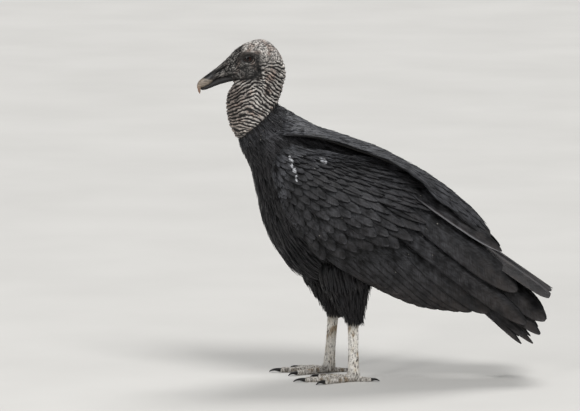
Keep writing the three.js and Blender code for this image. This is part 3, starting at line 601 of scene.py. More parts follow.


# Relief of the bare skin: folds (0.5 + 0.5 cos phase)^0.85 on the neck, rounded pebbles (1.15 - d / 0.62)^0.8
# on the crown, the same drawn out lengthwise before the eye, fine lines on the cere, and rings of small folds
# round the eye. Also how light each place is (its ridge), which follows the relief, high places partly as a
# painted highlight and low ones partly as painted shade, and how light it may get (pale).
def bareRelief(p):
    x, y, z = p[..., 0], p[..., 1], p[..., 2]

    # Where each kind of skin lies: neck, cere, lores before the eye, crown and face.
    underJaw = 400.0 + 0.12 * (y + 130) + 2.2 * noise(p / 5, 19) - z
    behindEar = y + 104.5 + 0.12 * (z - 415)
    neckShare = smoothStep((np.maximum(underJaw, behindEar) + 1.5) / 4)
    pebbly = smoothStep((z - 419 - 1.6 * noise(p / 6, 9)) / 11)
    cereShare = smoothStep((-151 - y - 4 * noise(p / 4, 10)) / 7) * (1 - neckShare)
    overLores = z - 410.5 - 0.1 * (y + 140)
    loresShare = smoothStep((-126 - y) / 6) * smoothStep(overLores / 3) * (1 - cereShare) * (1 - neckShare)
    onTop = smoothStep((z - 433) / 5) * (1 - cereShare)
    crownShare = np.maximum(onTop, neckShare * pebbly) * (1 - loresShare)
    neckShare = neckShare * (1 - pebbly)
    faceShare = np.clip(1 - neckShare - cereShare - loresShare - crownShare, 0, 1)

    # The patterns: folds, pebbles, grit, long knobs before the eye, lines and creases.
    near = p + 0.7 * np.stack([noise(p / 2.2, 14 + i) + 1.5 * noise(p / 5.5, 17 + i) for i in range(3)], -1)
    together = waveSum(near.reshape(-1, 3), foldWaves()).reshape(x.shape)
    clear = smoothStep(np.abs(together) / 0.25)
    fold = (0.5 + 0.5 * np.cos(np.angle(together))) ** 0.85 * clear + 0.35 * (1 - clear)
    beads = 0.5 + 0.5 * noise(p / [3.4, 3.4, 2.0], 3)
    fold = fold * (0.45 + 0.55 * beads)
    dot, number = scattered(p / 2.3, 40)
    pebble = np.clip(1.15 - dot / 0.62, 0, 1) ** 0.8 * (0.45 + 0.55 * number)
    small, smallNumber = scattered(p / 1.5, 50)
    grit = np.clip(1.1 - small / 0.62, 0, 1) * (0.3 + 0.7 * smallNumber)
    along = y * np.cos(billSlope) + z * np.sin(billSlope)
    over = -y * np.sin(billSlope) + z * np.cos(billSlope)
    drawnOut = np.stack([along / 3.3, over / 1.7, x / 2.2], -1) + noise(p / 3, 61)[..., None] * 0.3
    knob, knobNumber = scattered(drawnOut, 60)
    knobs = np.clip(1.15 - knob / 0.62, 0, 1) ** 0.8 * (0.5 + 0.5 * knobNumber)
    lines = np.abs(noise(np.stack([along / 18, over / 1.7, x / 2.2], -1), 6)) ** 0.7
    creases = np.abs(noise(p / [2.8, 2.8, 1.7], 7)) ** 0.6

    height = neckShare * (folds["height"] * (fold - 0.62) + 0.3 * (grit - 0.4))
    height += crownShare * (1.0 * (pebble - 0.45) + 0.3 * (grit - 0.4))
    height += loresShare * 1.0 * (knobs - 0.45) + cereShare * 0.35 * (lines - 0.5) * smoothStep((y + 167) / 7)
    height += faceShare * 0.3 * (creases - 0.5)
    # How light each place is follows the relief: fold tops, pebbles, knobs and cere lines are light, partly
    # as a painted highlight, and the furrows between them dark, partly as painted shade.
    patchy = 0.84 + 0.3 * noise(p / 6, 12) + 0.34 * noise(p / 1.8, 13)
    ridge = neckShare * (0.1 + fold * (0.75 + 0.4 * grit) * patchy * 1.4)
    ridge += crownShare * (0.16 + 1.25 * np.maximum(pebble, 0.9 * grit))
    smooth = smoothStep((-160 - y) / 7)                  # the cere grows smooth where it meets the horn
    ridge += loresShare * knobs * 1.1 + faceShare * creases * 0.8
    ridge += cereShare * (lines * 1.0 * (1 - smooth) + 0.3 * smooth)

    # Round the eye, with r = 1 on the rim of its opening: rings below it, and a brow above it.
    ey, ez = y - eye["at"][1], z - eye["at"][2]
    r = np.hypot(ey / eye["opening"][0], ez / eye["opening"][1])
    r = r + 0.09 * noise(p / 2.6, 62) * smoothStep((r - 1.2) / 0.3)
    ring = np.cos(2 * np.pi * (r - 1.4) / 0.46) * smoothStep((r - 1.12) / 0.14) * smoothStep((2.7 - r) / 0.7)
    lower = smoothStep((1.0 - ez + 0.3 * ey) / 5)
    onEye = smoothStep((2.6 - r) / 0.8)
    height = height * (1 - 0.7 * onEye) + 0.5 * ring * lower
    wrinkled = 0.2 + 0.5 * ring * lower * (0.7 + 0.5 * noise(p / 1.8, 63)) + 0.25 * creases
    ridge = ridge * (1 - 0.75 * onEye) + onEye * wrinkled
    brow = bell((ey + 0.5 - 0.3 * ez) / 9.5) * bell((ez - 7.6 - 0.12 * ey) / 2.3)
    height += 2.4 * brow - 1.0 * bell((y + 141) / 8) * bell((z - 421) / 4.5)
    ridge = ridge * (1 - 0.5 * brow) + 0.35 * brow

    # The cheek's swell, and the lines of the mouth, gape, jaw, back of the cheek and ear.
    cheek = bell((y + 127) / 12) * bell((z - 407) / 4.0)
    mouth = distanceToRun(y, z, [(-168, 396.4), (-158, 400.8), (-148, 404.6), (-139, 406.4)])
    gape = distanceToRun(y, z, [(-150, 408), (-140, 409.5), (-133.5, 407), (-131, 402)])
    jaw = distanceToRun(y, z, [(-143, 399.6), (-131, 400.5), (-119, 402), (-111, 407)])
    behind = distanceToRun(y, z, [(-111, 427), (-108, 419), (-107, 410)])
    ear = np.hypot((y + 106.5) / 2.2, (z - 412.5) / 3.0)
    height += 0.8 * cheek + 0.6 * bell(gape / 1.3) - 0.5 * bell((gape - 2.4) / 0.9)
    height += -0.8 * bell(mouth / 0.7) - 0.9 * bell(jaw / 1.2) - 0.8 * bell(behind / 1.4) - 1.8 * bell(ear)
    # Painted shade: the skin is darkened along the jaw, the back of the cheek, the ear and the mouth; and a
    # painted sheen lightens the gape's fold.
    for line, wide, share in ((jaw, 1.3, 0.7), (behind, 1.5, 0.6), (ear, 1.0, 1.0), (mouth, 0.8, 0.9)):
        ridge = ridge * (1 - share * bell(line / wide))
    ridge += 0.2 * bell(gape / 1.1)

    # The nostril: an oval slit, deepest inside slit = 0.6, with a raised lip over it.
    ny, nz = y - nostril["at"][0], z - nostril["at"][1]
    slitU = ny * np.cos(nostril["slope"]) + nz * np.sin(nostril["slope"])
    slitV = -ny * np.sin(nostril["slope"]) + nz * np.cos(nostril["slope"])
    slit = np.hypot(slitU / nostril["half"][0], slitV / nostril["half"][1])
    lip = 0.4 * bell((slitV - 2.0) / 1.0) * bell(slitU / 8)
    height += lip - nostril["depth"] * smoothStep((1.5 - slit) / 0.9)
    # Painted shade: the skin is darkened in and round the nostril's slit.
    ridge *= 1 - smoothStep((1.8 - slit) / 0.7)
    # The front of the throat may get less pale, as painted shade on the side away from the light.
    throat = smoothStep((-117 - y + 3 * noise(p / 7, 24)) / 13) * smoothStep((z - 352) / 14)
    pale = neckShare * (1 - 0.25 * throat) + crownShare
    pale = pale + 0.62 * loresShare + 0.8 * cereShare + 0.3 * faceShare
    ringed = smoothStep((r - 1.1) / 0.2) * smoothStep((2.3 - r) / 0.5)
    pale = pale * (1 - onEye) + onEye * (0.14 + 0.5 * lower * ringed)
    return height, np.clip(ridge, 0, 1), np.clip(pale, 0, 1)


skinPlan = {
    "ringStep": 0.67, "around": 260, "bareRows": 10.7,         # the bare part: its rings, and where it ends
    "trunkStep": 6.0, "coarse": 4, "coatDepth": 3.2,           # under the coat: every coarse-th point, sunk
    "bareFrom": -2.5, "scalesBelow": 92,                       # height over the collar, and over the floor
    "chalk": (66, 16),                                         # chalked up to there, and gone 16 mm above
}


# The body as a closed grid: fine rings with relief down to the collar, then coarse ones under the coat.
def bodySkin():
    t = np.linspace(0, 1, 3000)
    tops, bottoms = bodyAt(t, np.zeros(1)), bodyAt(t, np.full(1, np.pi))
    run, runBelow = (np.linalg.norm(np.diff(line, axis=0), axis=1) for line in (tops, bottoms))
    path = 0.5 * (run + runBelow)
    bareEnd = skinPlan["bareRows"] / (len(bodyRows) - 1)
    step = np.where(t[1:] < bareEnd, skinPlan["ringStep"], skinPlan["trunkStep"])
    rings = np.concatenate([[0], np.cumsum(path / step)])
    places = np.interp(np.arange(int(rings[-1]) + 1), rings, t)
    fine, coarse = places[places < bareEnd], places[places >= bareEnd]
    around, every = skinPlan["around"], skinPlan["coarse"]
    angle = np.arange(around) / around * 2 * np.pi

    # Points with relief along the normal, sunk under the coat, and pushed to the eyeball round each eye.
    def placed(t, angle):
        base = bodyAt(t, angle)
        normal = normalsOf(bodyAt, t, angle, 1e-4, 1e-3, -1)
        height, ridge, pale = bareRelief(base)
        bare = smoothStep((aboveCollar(base) + 3) / 4)
        noseEnd = smoothStep(t * (len(bodyRows) - 1) / 0.25)
        under = -skinPlan["coatDepth"] * (1 - bare)
        points = base + normal * (height * bare * noseEnd + under)[..., None]
        side = np.sign(points[..., 0])
        ex, ey, ez = eye["at"]
        oy, oz = points[..., 1] - ey, points[..., 2] - ez
        r = np.hypot(oy / eye["opening"][0], oz / eye["opening"][1])
        ball = ex + np.sqrt(np.maximum(eye["radius"] ** 2 - oy ** 2 - oz ** 2, 0))
        socket = smoothStep((1.18 - r) / 0.16)
        rim = smoothStep((1.75 - r) / 0.7)
        x = np.abs(points[..., 0])
        x = x + rim * (ball + 0.25 - x) * 0.8
        x = x + socket * (ball - 1.6 - x)
        onSide = np.abs(points[..., 0]) > 8
        points[..., 0] = np.where(onSide, side * x, points[..., 0])
        horny = smoothStep(pastCere(points) * 4) * smoothStep((-160 - points[..., 1]) / 3)
        return points, {"ridge": ridge, "pale": pale, "horny": horny}

    finePoints, fineLooks = placed(fine[:, None], angle[None, :])
    coarsePoints, coarseLooks = placed(coarse[:, None], angle[None, ::every])
    points = np.concatenate([finePoints.reshape(-1, 3), coarsePoints.reshape(-1, 3)])
    looks = {key: np.concatenate([fineLooks[key].ravel(), coarseLooks[key].ravel()]) for key in fineLooks}
    fineCount, sides = finePoints.shape[0] * around, around // every
    last, first = fineCount - around, fineCount
    j = np.arange(sides)
    blend = np.stack([last + (j * every + k) % around for k in range(every + 1)]
                     + [first + (j + 1) % sides, first + j], -1)
    end = len(points) - sides
    faces = [ringFaces(len(fine), around), blend, ringFaces(len(coarse), sides, fineCount),
             np.arange(around)[None, ::-1], (end + np.arange(sides))[None, :]]
    return points, [f[:, ::-1] for f in faces], looks


mantleRows = [
    [-80, 351, 44, 330, 3, 2], [-72, 359, 51, 329, 6, 1.9], [-52, 348, 56, 330, 8, 1.9],
    [-22, 331, 58, 328, 8, 2.3], [18, 314, 58, 316, 7, 3], [60, 300, 56, 300, 7, 3],
    [100, 283, 50, 275, 6, 2.4], [140, 258, 41, 238, 5, 2], [178, 226, 31, 204, 4, 2],
    [202, 196, 21, 184, 3, 2], [214, 176, 8, 172, 2, 2],
]   # y, ridge height, reach and height of the edge, thickness, and how squarely it turns down


# The mantle over y and a share across: x = reach across, z = ridge - (ridge - edge) |across|^square - under.
def mantleAt(y, across, under=0.0):
    row = smoothRows(mantleRows, shareAt(mantleRows, y))
    ridge, reach, edge, square = row[..., 1], row[..., 2], row[..., 3], row[..., 5]
    z = ridge - (ridge - edge) * np.abs(across) ** square - under
    return np.stack(np.broadcast_arrays(across * reach, y, z), -1)


wingRows = [
    [-91, 66, 293, 67, 281, 1], [-86, 67, 301, 70, 260, 4], [-74, 67, 308, 73, 236, 8],
    [-50, 65, 311, 75, 204, 12], [-18, 60, 309, 76, 171, 16], [22, 54, 303, 74, 156, 18],
    [66, 46, 283, 71, 132, 18], [106, 39, 255, 66, 108, 16], [150, 32, 225, 58, 98, 13],
    [196, 27, 190, 50, 80, 9], [240, 24, 152, 45, 48, 6], [285, 22, 118, 42, 25, 4],
]   # y, reach and height of the upper margin, of the lower margin, and the swell between them
armThickness = [6, 10, 14, 15, 15, 14, 12, 10, 8]
armFoot = ([-91, -86, -74, -50, -30, -10, 14, 44, 80, 110],
           [284, 264, 242, 212, 196, 192, 206, 204, 216, 240])   # height of the arm's lower edge over y


# The folded wing's face over y and z: x on the line between its margins, plus swell 4 up (1 - up).
def wingAt(y, z):
    row = smoothRows(wingRows, shareAt(wingRows, y))
    up = np.clip((z - row[..., 4]) / (row[..., 2] - row[..., 4]), -0.6, 1.35)
    x = row[..., 3] + (row[..., 1] - row[..., 3]) * up + row[..., 5] * 4 * up * (1 - up)
    x = x - 0.12 * np.maximum(-86 - y, 0) ** 2
    return np.stack(np.broadcast_arrays(x, y, z), -1)


# A closed body through rings of points, each ring a row, its ends filled.
def closedRings(rings):
    count, sides = rings.shape[:2]
    end = (count - 1) * sides
    faces = [ringFaces(count, sides), np.arange(sides)[None, ::-1], (end + np.arange(sides))[None, :]]
    return rings.reshape(-1, 3), faces


# The wing's arm under its coverts, sunk by the coat's depth, as rings that go round its section.
def armRings(sink=3.4):
    t = np.linspace(0.04, 1, 26)[:, None]
    angle = np.linspace(0, 2 * np.pi, 28, endpoint=False)[None, :]
    y = -89 + 195 * t
    row = smoothRows(wingRows, shareAt(wingRows, y))
    thick = smoothRows(np.array(armThickness, float)[:, None], t)[..., 0]
    low = np.interp(y, *armFoot)
    z = low + (row[..., 2] - 2 - low) * (0.5 + 0.5 * np.cos(angle))
    points = wingAt(np.broadcast_to(y, z.shape), z)
    points[..., 0] -= np.where(np.sin(angle) < 0, (thick - sink) * np.abs(np.sin(angle)) ** 0.6, 0) + sink
    return points


# The flesh under the mantle, sunk by the coat's depth and as thick as the rows say.
def mantleRings(sink=2.4):
    y = np.linspace(-74, 200, 40)[:, None]
    angle = np.linspace(0, 2 * np.pi, 40, endpoint=False)[None, :]
    thick = smoothRows(mantleRows, shareAt(mantleRows, y))[..., 4]
    rounded = np.abs(np.sin(angle)) ** 0.7
    under = sink + np.where(np.sin(angle) < 0, np.maximum(thick - sink, 0.8) * rounded, 0)
    return mantleAt(y, np.cos(angle) * 0.95, under)


# Where each leg stands, as y and z at its top, ankle and ball, and how far its foot turns out in degrees.
legPlan = {
    "left": {"x": 38.0, "thighTop": (4.0, 150.0), "ankle": (17.0, 88.0), "ball": (18.0, 10.0),
             "heading": 4.0},
    "right": {"x": -38.0, "thighTop": (-22.0, 150.0), "ankle": (-8.0, 88.0), "ball": (-14.0, 10.0),
              "heading": -2.0},
}
shank = {"wide": 6.0, "deep": 8.0, "waist": 0.16,
         "knobs": ((0.02, 0.09, 0.16), (1, 0.1, 0.1))}   # share down it, half length and swell of each
thighRows = [[1.3, 9, 18], [1.1, 18, 32], [0.7, 22, 32], [0.4, 19, 25], [0.12, 14, 17], [-0.1, 10.5, 12],
             [-0.22, 8, 10]]   # share up from the ankle, half width and half depth
toePlan = [
    {"turn": 30, "length": 48, "base": 5.0, "end": 3.6, "claw": 12},
    {"turn": 2, "length": 66, "base": 5.4, "end": 3.6, "claw": 14},
    {"turn": -30, "length": 52, "base": 5.0, "end": 3.6, "claw": 12},
    {"turn": 172, "length": 24, "base": 4.0, "end": 3.0, "claw": 10},
]
footLook = {"sides": 26, "voxel": 0.95, "padSwell": 0.1, "pressed": 0.7, "plateStep": 3.4, "shankStep": 5.2,
            "plateHeight": 0.3, "grain": 0.16, "ball": (7.2, 8.5, 7.8), "ballUp": 7.6}


# Rings of an oval tube along a path: centre + side cos(a) wide + up sin(a) deep.
def tubeRings(centres, along, wide, deep, sides):
    along = along / np.linalg.norm(along, axis=1, keepdims=True)
    flat = np.cross(along, [0, 0, 1.0])
    steep = np.linalg.norm(flat, axis=1) < 0.22
    flat[steep] = [1.0, 0, 0]
    side = flat / np.linalg.norm(flat, axis=1, keepdims=True)
    up = np.cross(side, along)
    angle = np.linspace(0, 2 * np.pi, sides, endpoint=False)
    rings = (centres[:, None] + side[:, None] * (np.cos(angle)[None, :, None] * wide[:, None, None])
             + up[:, None] * (np.sin(angle)[None, :, None] * deep[:, None, None]))
    return rings


# The level unit vector that a toe points along: forwards, turned by its own angle and the foot's.
def toeHeading(leg, toe):
    angle = np.radians(leg["heading"] + toe["turn"])
    return np.array([np.sign(leg["x"]) * np.sin(angle), -np.cos(angle), 0.0])


# A toe: a tube whose radius swells at each joint as 1 + swell cos(4 pi s), its underside flat on the floor.
def toeRings(leg, toe):
    s = np.linspace(0, 1, 40)
    taper = toe["base"] + (toe["end"] - toe["base"]) * s
    radius = taper * (1 + footLook["padSwell"] * np.cos(4 * np.pi * s))
    radius = radius * np.sqrt(np.clip(1 - ((s - 0.93) / 0.075) ** 2 * (s > 0.93), 0.05, 1))
    heading = toeHeading(leg, toe)
    centres = np.array([leg["x"], leg["ball"][0], 0]) + heading * (s * toe["length"])[:, None]
    centres[:, 2] = taper - footLook["pressed"]
    return tubeRings(centres, np.tile(heading, (len(s), 1)), radius, radius, footLook["sides"])


# The shank: an oval tube, 1 - waist sin(pi s) as thick as at its ends, with a round knob at either joint.
def shankRings(leg):
    s = np.linspace(-0.28, 1, 50)
    slim = 1 - shank["waist"] * np.sin(np.pi * np.clip(s, 0, 1))
    knob = 1
    for place, half, swell in shank["knobs"]:
        knob = knob + swell * bell((s - place) / half)
    centres = np.stack([np.full(s.shape, leg["x"]), leg["ankle"][0] + (leg["ball"][0] - leg["ankle"][0]) * s,
                        leg["ankle"][1] + (leg["ball"][1] - 2 - leg["ankle"][1]) * s], -1)
    down = np.tile([0, 0, -1.0], (len(s), 1))
    return tubeRings(centres, down, shank["wide"] * slim * knob, shank["deep"] * slim * knob,
                     footLook["sides"])


# Thigh and shin under the trousers: x + sin(a) wide and y + cos(a) deep on a line up from the ankle, sunk by
# the coat's depth.
def thighAt(leg, t, angle, sink=0.0):
    row = smoothRows(thighRows, t)
    up, wide, deep = row[..., 0], row[..., 1] - sink, row[..., 2] - sink
    y = leg["ankle"][0] + (leg["thighTop"][0] - leg["ankle"][0]) * up + np.cos(angle) * deep
    z = leg["ankle"][1] + (leg["thighTop"][1] - leg["ankle"][1]) * up
    return np.stack(np.broadcast_arrays(leg["x"] + np.sin(angle) * wide, y, z), -1)


# The flesh of thigh and shin, as rings down the leg.
def thighRings(leg):
    t = np.linspace(0, 1, 24)[:, None]
    angle = np.linspace(0, 2 * np.pi, 28, endpoint=False)[None, :]
    return thighAt(leg, t, angle, sink=4.0)


# The ball of the foot: a ball stretched to its half width, length and height, its centre ballUp high.
def ballRings(leg):
    v = np.linspace(0.02, 0.98, 16)[:, None] * np.pi
    angle = np.linspace(0, 2 * np.pi, footLook["sides"], endpoint=False)[None, :]
    halfX, halfY, halfZ = footLook["ball"]
    x = leg["x"] + halfX * np.sin(v) * np.cos(angle)
    y = leg["ball"][0] + halfY * np.sin(v) * np.sin(angle)
    z = footLook["ballUp"] + halfZ * np.cos(v) + 0 * angle
    return np.stack(np.broadcast_arrays(x, y, z), -1)


# A closed body through the rings, for the skin to be joined from.
def temporary(name, rings):
    points, faces = closedRings(rings)
    piece = makePiece(name, points, faces, downSurface)
    fixFacing(piece)
    return piece


# Turns a closed mesh right side out: its signed volume, the sum of a . (b x c) / 6, must be positive.
def fixFacing(piece):
    mesh = piece.data
    mesh.calc_loop_triangles()
    corners = readAll(mesh.loop_triangles, "vertices", 3, np.int32)
    a, b, c = np.moveaxis(readAll(mesh.vertices, "co", 3)[corners].astype(float), 1, 0)
    if np.einsum("ij,ij->i", a, np.cross(b, c)).sum() < 0:
        mesh.flip_normals()


# Makes the piece's modifiers part of its mesh.
def evaluated(piece):
    depsgraph = bpy.context.evaluated_depsgraph_get()
    mesh = bpy.data.meshes.new_from_object(piece.evaluated_get(depsgraph))
    piece.modifiers.clear()
    piece.data = mesh


# Joins closed bodies into the first one, with no walls left inside.
def unionOf(base, others):
    for other in others:
        cut = base.modifiers.new("join", "BOOLEAN")
        cut.operation, cut.solver, cut.object = "UNION", "MANIFOLD", other
    evaluated(base)
    for other in others:
        bpy.data.objects.remove(other)
    return base


# A mesh's points, back in the bird's scale.
def pointsOf(mesh):
    return readAll(mesh.vertices, "co", 3).astype(float) / mm - np.array([0.0, setBack, 0.0])


# A bare leg: shank, ball and toes melted together at the voxel's size, then the broad plates over each toe
# and down the front of the shank, raised as plateHeight |sin(pi along / step)|^0.7, and a fine grain.
def bareLeg(name, leg):
    shapes = [temporary(name, shankRings(leg)), temporary("ball", ballRings(leg))]
    shapes += [temporary("toe", toeRings(leg, toe)) for toe in toePlan]
    piece = unionOf(shapes[0], shapes[1:])
    melt = piece.modifiers.new("melt", "REMESH")
    melt.mode, melt.voxel_size = "VOXEL", footLook["voxel"] * mm
    evaluated(piece)
    mesh = piece.data
    p = pointsOf(mesh)
    normal = readAll(mesh.vertices, "normal", 3)
    raised = np.zeros(len(p))
    for toe in toePlan:
        heading = toeHeading(leg, toe)
        offset = p - np.array([leg["x"], leg["ball"][0], 0])
        along = offset @ heading
        aside = np.abs(offset[:, 0] * heading[1] - offset[:, 1] * heading[0])
        on = smoothStep((5.6 - aside) / 1.5) * smoothStep((along - 7) / 4)
        on = on * smoothStep((toe["length"] - along) / 3) * smoothStep((p[:, 2] - 3.0) / 2.5)
        raised = np.maximum(raised, on * np.abs(np.sin(np.pi * along / footLook["plateStep"])) ** 0.7)
    front = smoothStep((leg["ball"][0] - 1.0 - p[:, 1]) / 3) * smoothStep((p[:, 2] - 16) / 6)
    raised = np.maximum(raised, front * np.abs(np.sin(np.pi * p[:, 2] / footLook["shankStep"])) ** 0.7)
    p = p + normal * (footLook["plateHeight"] * (raised - 0.4) * (raised > 0))[:, None]
    p = p + normal * (footLook["grain"] * noise(p / 1.6, 11))[:, None]
    p[:, 2] = np.maximum(p[:, 2], 0.0)
    mesh.vertices.foreach_set("co", toFrame(p).astype(np.float32).ravel())
    mesh.update()
    return piece


# Eyelids: a rounded rim round the opening, lying on the eyeball. The rim's centre follows
# (ey + a cos w, ez + b sin w) with x on the ball, and its section is a circle, thicker above.
def lidRings(side):
    w = np.linspace(0, 2 * np.pi, 97)[:-1]
    oy, oz = eye["opening"][0] * np.cos(w), eye["opening"][1] * np.sin(w)
    oz = oz * np.where(oz > 0, 0.82, 0.92) + 0.6 * np.cos(w)
    half = eye["lidHalf"] * (1 + 0.3 * np.sin(w))
    ox = np.sqrt(eye["radius"] ** 2 - oy ** 2 - oz ** 2)
    out = np.stack([ox, oy, oz], -1) / eye["radius"]
    centre = np.array(eye["at"]) + out * (eye["radius"] + 0.15)
    run = np.roll(centre, -1, 0) - np.roll(centre, 1, 0)
    run /= np.linalg.norm(run, axis=1, keepdims=True)
    across = np.cross(run, out)
    angle = np.linspace(0, 2 * np.pi, 14, endpoint=False)
    rings = (centre[:, None] + out[:, None] * (np.sin(angle)[None, :, None] * half[:, None, None])
             + across[:, None] * (np.cos(angle)[None, :, None] * half[:, None, None] * 1.25))
    rings[..., 0] *= side
    return rings


# The eyelids of one side as a closed ring of rings.
def lidPiece(side):
    rings = lidRings(side)
    count, sides = rings.shape[:2]
    i, j = np.arange(count)[:, None], np.arange(sides)[None, :]
    n, k = (i + 1) % count, (j + 1) % sides
    faces = np.stack([i * sides + j, i * sides + k, n * sides + k, n * sides + j], -1).reshape(-1, 4)
    points = rings.reshape(-1, 3)
    shares = {"ridge": 0.35, "pale": 0.15, "horny": 0.0}
    looks = {key: np.full(len(points), share) for key, share in shares.items()}
    piece = makePiece("lid", points, [faces], skinSurface, values=looks)
    fixFacing(piece)
    return piece


# The whole skin: body, eyelids, mantle lining, arms, thighs and legs joined into one closed mesh, with bare
# skin above the collar, leg scales below the ankle and down between them.
def makeSkin():
    points, faces, looks = bodySkin()
    skin = makePiece("skin", points, faces, skinSurface, values=looks)
    fixFacing(skin)
    others = [lidPiece(1), lidPiece(-1), temporary("mantle_lining", mantleRings())]
    arm = armRings()
    others += [temporary("arm_left", arm), temporary("arm_right", arm * np.array([-1, 1, 1]))]
    for name, leg in legPlan.items():
        others += [temporary("thigh_" + name, thighRings(leg)), bareLeg("leg_" + name, leg)]
    unionOf(skin, others)
    mesh = skin.data
    mesh.materials.clear()
    for each in (skinSurface, downSurface, scaleSurface):
        mesh.materials.append(each)
    p = pointsOf(mesh)
    starts = readAll(mesh.polygons, "loop_start", kind=np.int32)
    first = p[readAll(mesh.loops, "vertex_index", kind=np.int32)[starts]]
    slots = np.where(aboveCollar(first) > skinPlan["bareFrom"], 0, 1)
    slots = np.where(first[:, 2] < skinPlan["scalesBelow"], 2, slots)
    mesh.polygons.foreach_set("material_index", slots.astype(np.int32))
    mesh.polygons.foreach_set("use_smooth", np.ones(len(starts), bool))
    addValue(mesh, "unchalked", smoothStep((p[:, 2] - skinPlan["chalk"][0]) / skinPlan["chalk"][1]))
    mesh.update()
    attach(skin, "root")
    sided = [part + "_" + side for part in ("wing_coverts", "thigh", "shank", "foot") for side in legPlan]
    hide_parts("head", "neck", "trunk", *sided)
    print("skin made,", sum(len(f.vertices) - 2 for f in mesh.polygons), "triangles")


makeSkin()


# A ball of rings round an axis that points out and a little forward, its front swelling into the cornea.
def makeEye(side):
    front = np.array(eye["facing"]) * [side, 1, 1]
    front /= np.linalg.norm(front)
    acrossAxis = np.cross(front, [0, 0, 1.0])
    acrossAxis /= np.linalg.norm(acrossAxis)
    upAxis = np.cross(acrossAxis, front)
    polar = np.linspace(0.0, np.pi, 44)[1:-1, None]
    angle = np.linspace(0, 2 * np.pi, 64, endpoint=False)[None, :]
    radius = eye["radius"] * (1 + eye["cornea"][0] * bell(polar / eye["cornea"][1]))
    rings = (front * (np.cos(polar) * radius)[..., None]
             + acrossAxis * (np.sin(polar) * radius * np.cos(angle))[..., None]
             + upAxis * (np.sin(polar) * radius * np.sin(angle))[..., None])
    centre = np.array(eye["at"]) * [side, 1, 1]
    points, faces = closedRings(rings + centre)
    outwards = np.broadcast_to(polar / 0.95, rings.shape[:2]).ravel()
    spokes = np.broadcast_to(np.sin(angle * 23) + np.sin(angle * 37 + 1.3), rings.shape[:2]).ravel()
    piece = makePiece("eye_ball_" + sideNames[side], points, faces, eyeSurface,
                      values={"outwards": outwards, "spokes": spokes})
    fixFacing(piece)
    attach(piece, "root")
    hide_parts("eye_" + sideNames[side])


upperBillRows = [
    [-162, 414.6, -160, 400.6, 5.6, 0.45], [-170.4, 409.7, -168.9, 396.2, 5.6, 0.45],
    [-176, 405.6, -174.6, 391.6, 5.3, 0.45], [-182.4, 401, -179.4, 389.5, 4.8, 0.45],
    [-187.4, 396.6, -183, 388.6, 4, 0.5], [-189.8, 390.6, -184.6, 386.2, 2.9, 0.5],
    [-188.6, 384.2, -185.2, 382.6, 1.6, 0.5], [-186.6, 380, -185.8, 379.6, 0.6, 0.5],
]
lowerBillRows = [
    [-134, 409, -133, 399, 9.4, 0.3], [-150, 407, -149, 395.5, 8.2, 0.3],
    [-163, 402.4, -162, 391.6, 5.6, 0.3], [-174, 394.8, -173, 387.2, 4.4, 0.3],
    [-180.4, 391, -179.4, 385, 3.2, 0.4], [-184.6, 387.4, -184, 384.6, 1.8, 0.5],
]   # the upper side reaches up inside the head, so the mouth is shut


# Rings through the rows of a bill, with the section of bodyAt, narrowed at the end as
# sqrt(1 - ((t - 0.97) / 0.04)^2).
def billRings(rows, count, sides):
    t = np.linspace(0, 1, count)[:, None]
    angle = np.linspace(0, 2 * np.pi, sides, endpoint=False)[None, :]
    topY, topZ, bottomY, bottomZ, half, widest = np.moveaxis(smoothRows(rows, t), -1, 0)
    share = (0.5 + 0.5 * np.cos(angle)) ** (np.log(widest) / np.log(0.5))
    blunt = np.sqrt(np.clip(1 - ((t - 0.97) / 0.04) ** 2 * (t > 0.97), 0.02, 1))
    x = np.sin(angle) * half * blunt
    return np.stack(np.broadcast_arrays(x, bottomY + (topY - bottomY) * share,
                                        bottomZ + (topZ - bottomZ) * share), -1)


# The two horny halves of the bill, their surfaces a little uneven. towardTip runs from the cere to the hook.
def makeBill():
    points, faces = closedRings(billRings(upperBillRows, 70, 56))
    points = points + 0.12 * noise(points / 2.5, 21)[:, None]
    hook = smoothStep((-181 - points[:, 1]) / 8) * smoothStep((396 - points[:, 2]) / 14)
    towardTip = np.clip(0.36 + np.minimum(pastCere(points), 0.3) + 0.4 * hook, 0, 1)
    upper = makePiece("bill_horn_upper", points, faces, hornSurface, values={"towardTip": towardTip})
    points, faces = closedRings(billRings(lowerBillRows, 60, 48))
    points = points + 0.1 * noise(points / 2.2, 22)[:, None]
    lower = makePiece("bill_horn_lower", points, faces, darkHornSurface)
    for piece, node, slot in ((upper, "bill_upper", "bill_horn"), (lower, "bill_lower", "dark_horn")):
        fixFacing(piece)
        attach(piece, "root")
        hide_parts(node)


# A claw: a tube that reaches out as sin(bend s) / sin(bend) and sinks as s^2 until its point meets the floor.
def clawRings(leg, toe):
    s = np.linspace(-0.12, 1, 30)
    out = np.clip(s, 0, 1)
    bend, point, thick = 1.1, 0.5, toe["end"] * 0.72
    heading = toeHeading(leg, toe)
    reach = toe["length"] + 0.35 + toe["claw"] * np.sin(s * bend) / np.sin(bend)
    centres = np.array([leg["x"], leg["ball"][0], toe["end"] - 0.35]) + heading * reach[:, None]
    centres[:, 2] += toe["claw"] * 0.06 * np.sin(out * np.pi) - (toe["end"] - 2 * point) * out ** 2
    along = heading + np.stack([0 * s, 0 * s, -out], -1)
    radius = thick + (point - thick) * out
    return tubeRings(centres, along, radius * 0.92, radius, 18)


# Four claws on each foot, kept just above the floor.
def makeClaws():
    for side, leg in legPlan.items():
        for i, toe in enumerate(toePlan):
            points, faces = closedRings(clawRings(leg, toe))
            points[:, 2] = np.maximum(points[:, 2], 0.02)
            piece = makePiece("claw_horn_%s_%d" % (side, i + 1), points, faces, darkHornSurface)
            fixFacing(piece)
            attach(piece, "root")
            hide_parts("claw_%s_%d" % (side, i + 1))


makeEye(1)
makeEye(-1)
makeBill()
makeClaws()
print("eyes, bill and claws made")


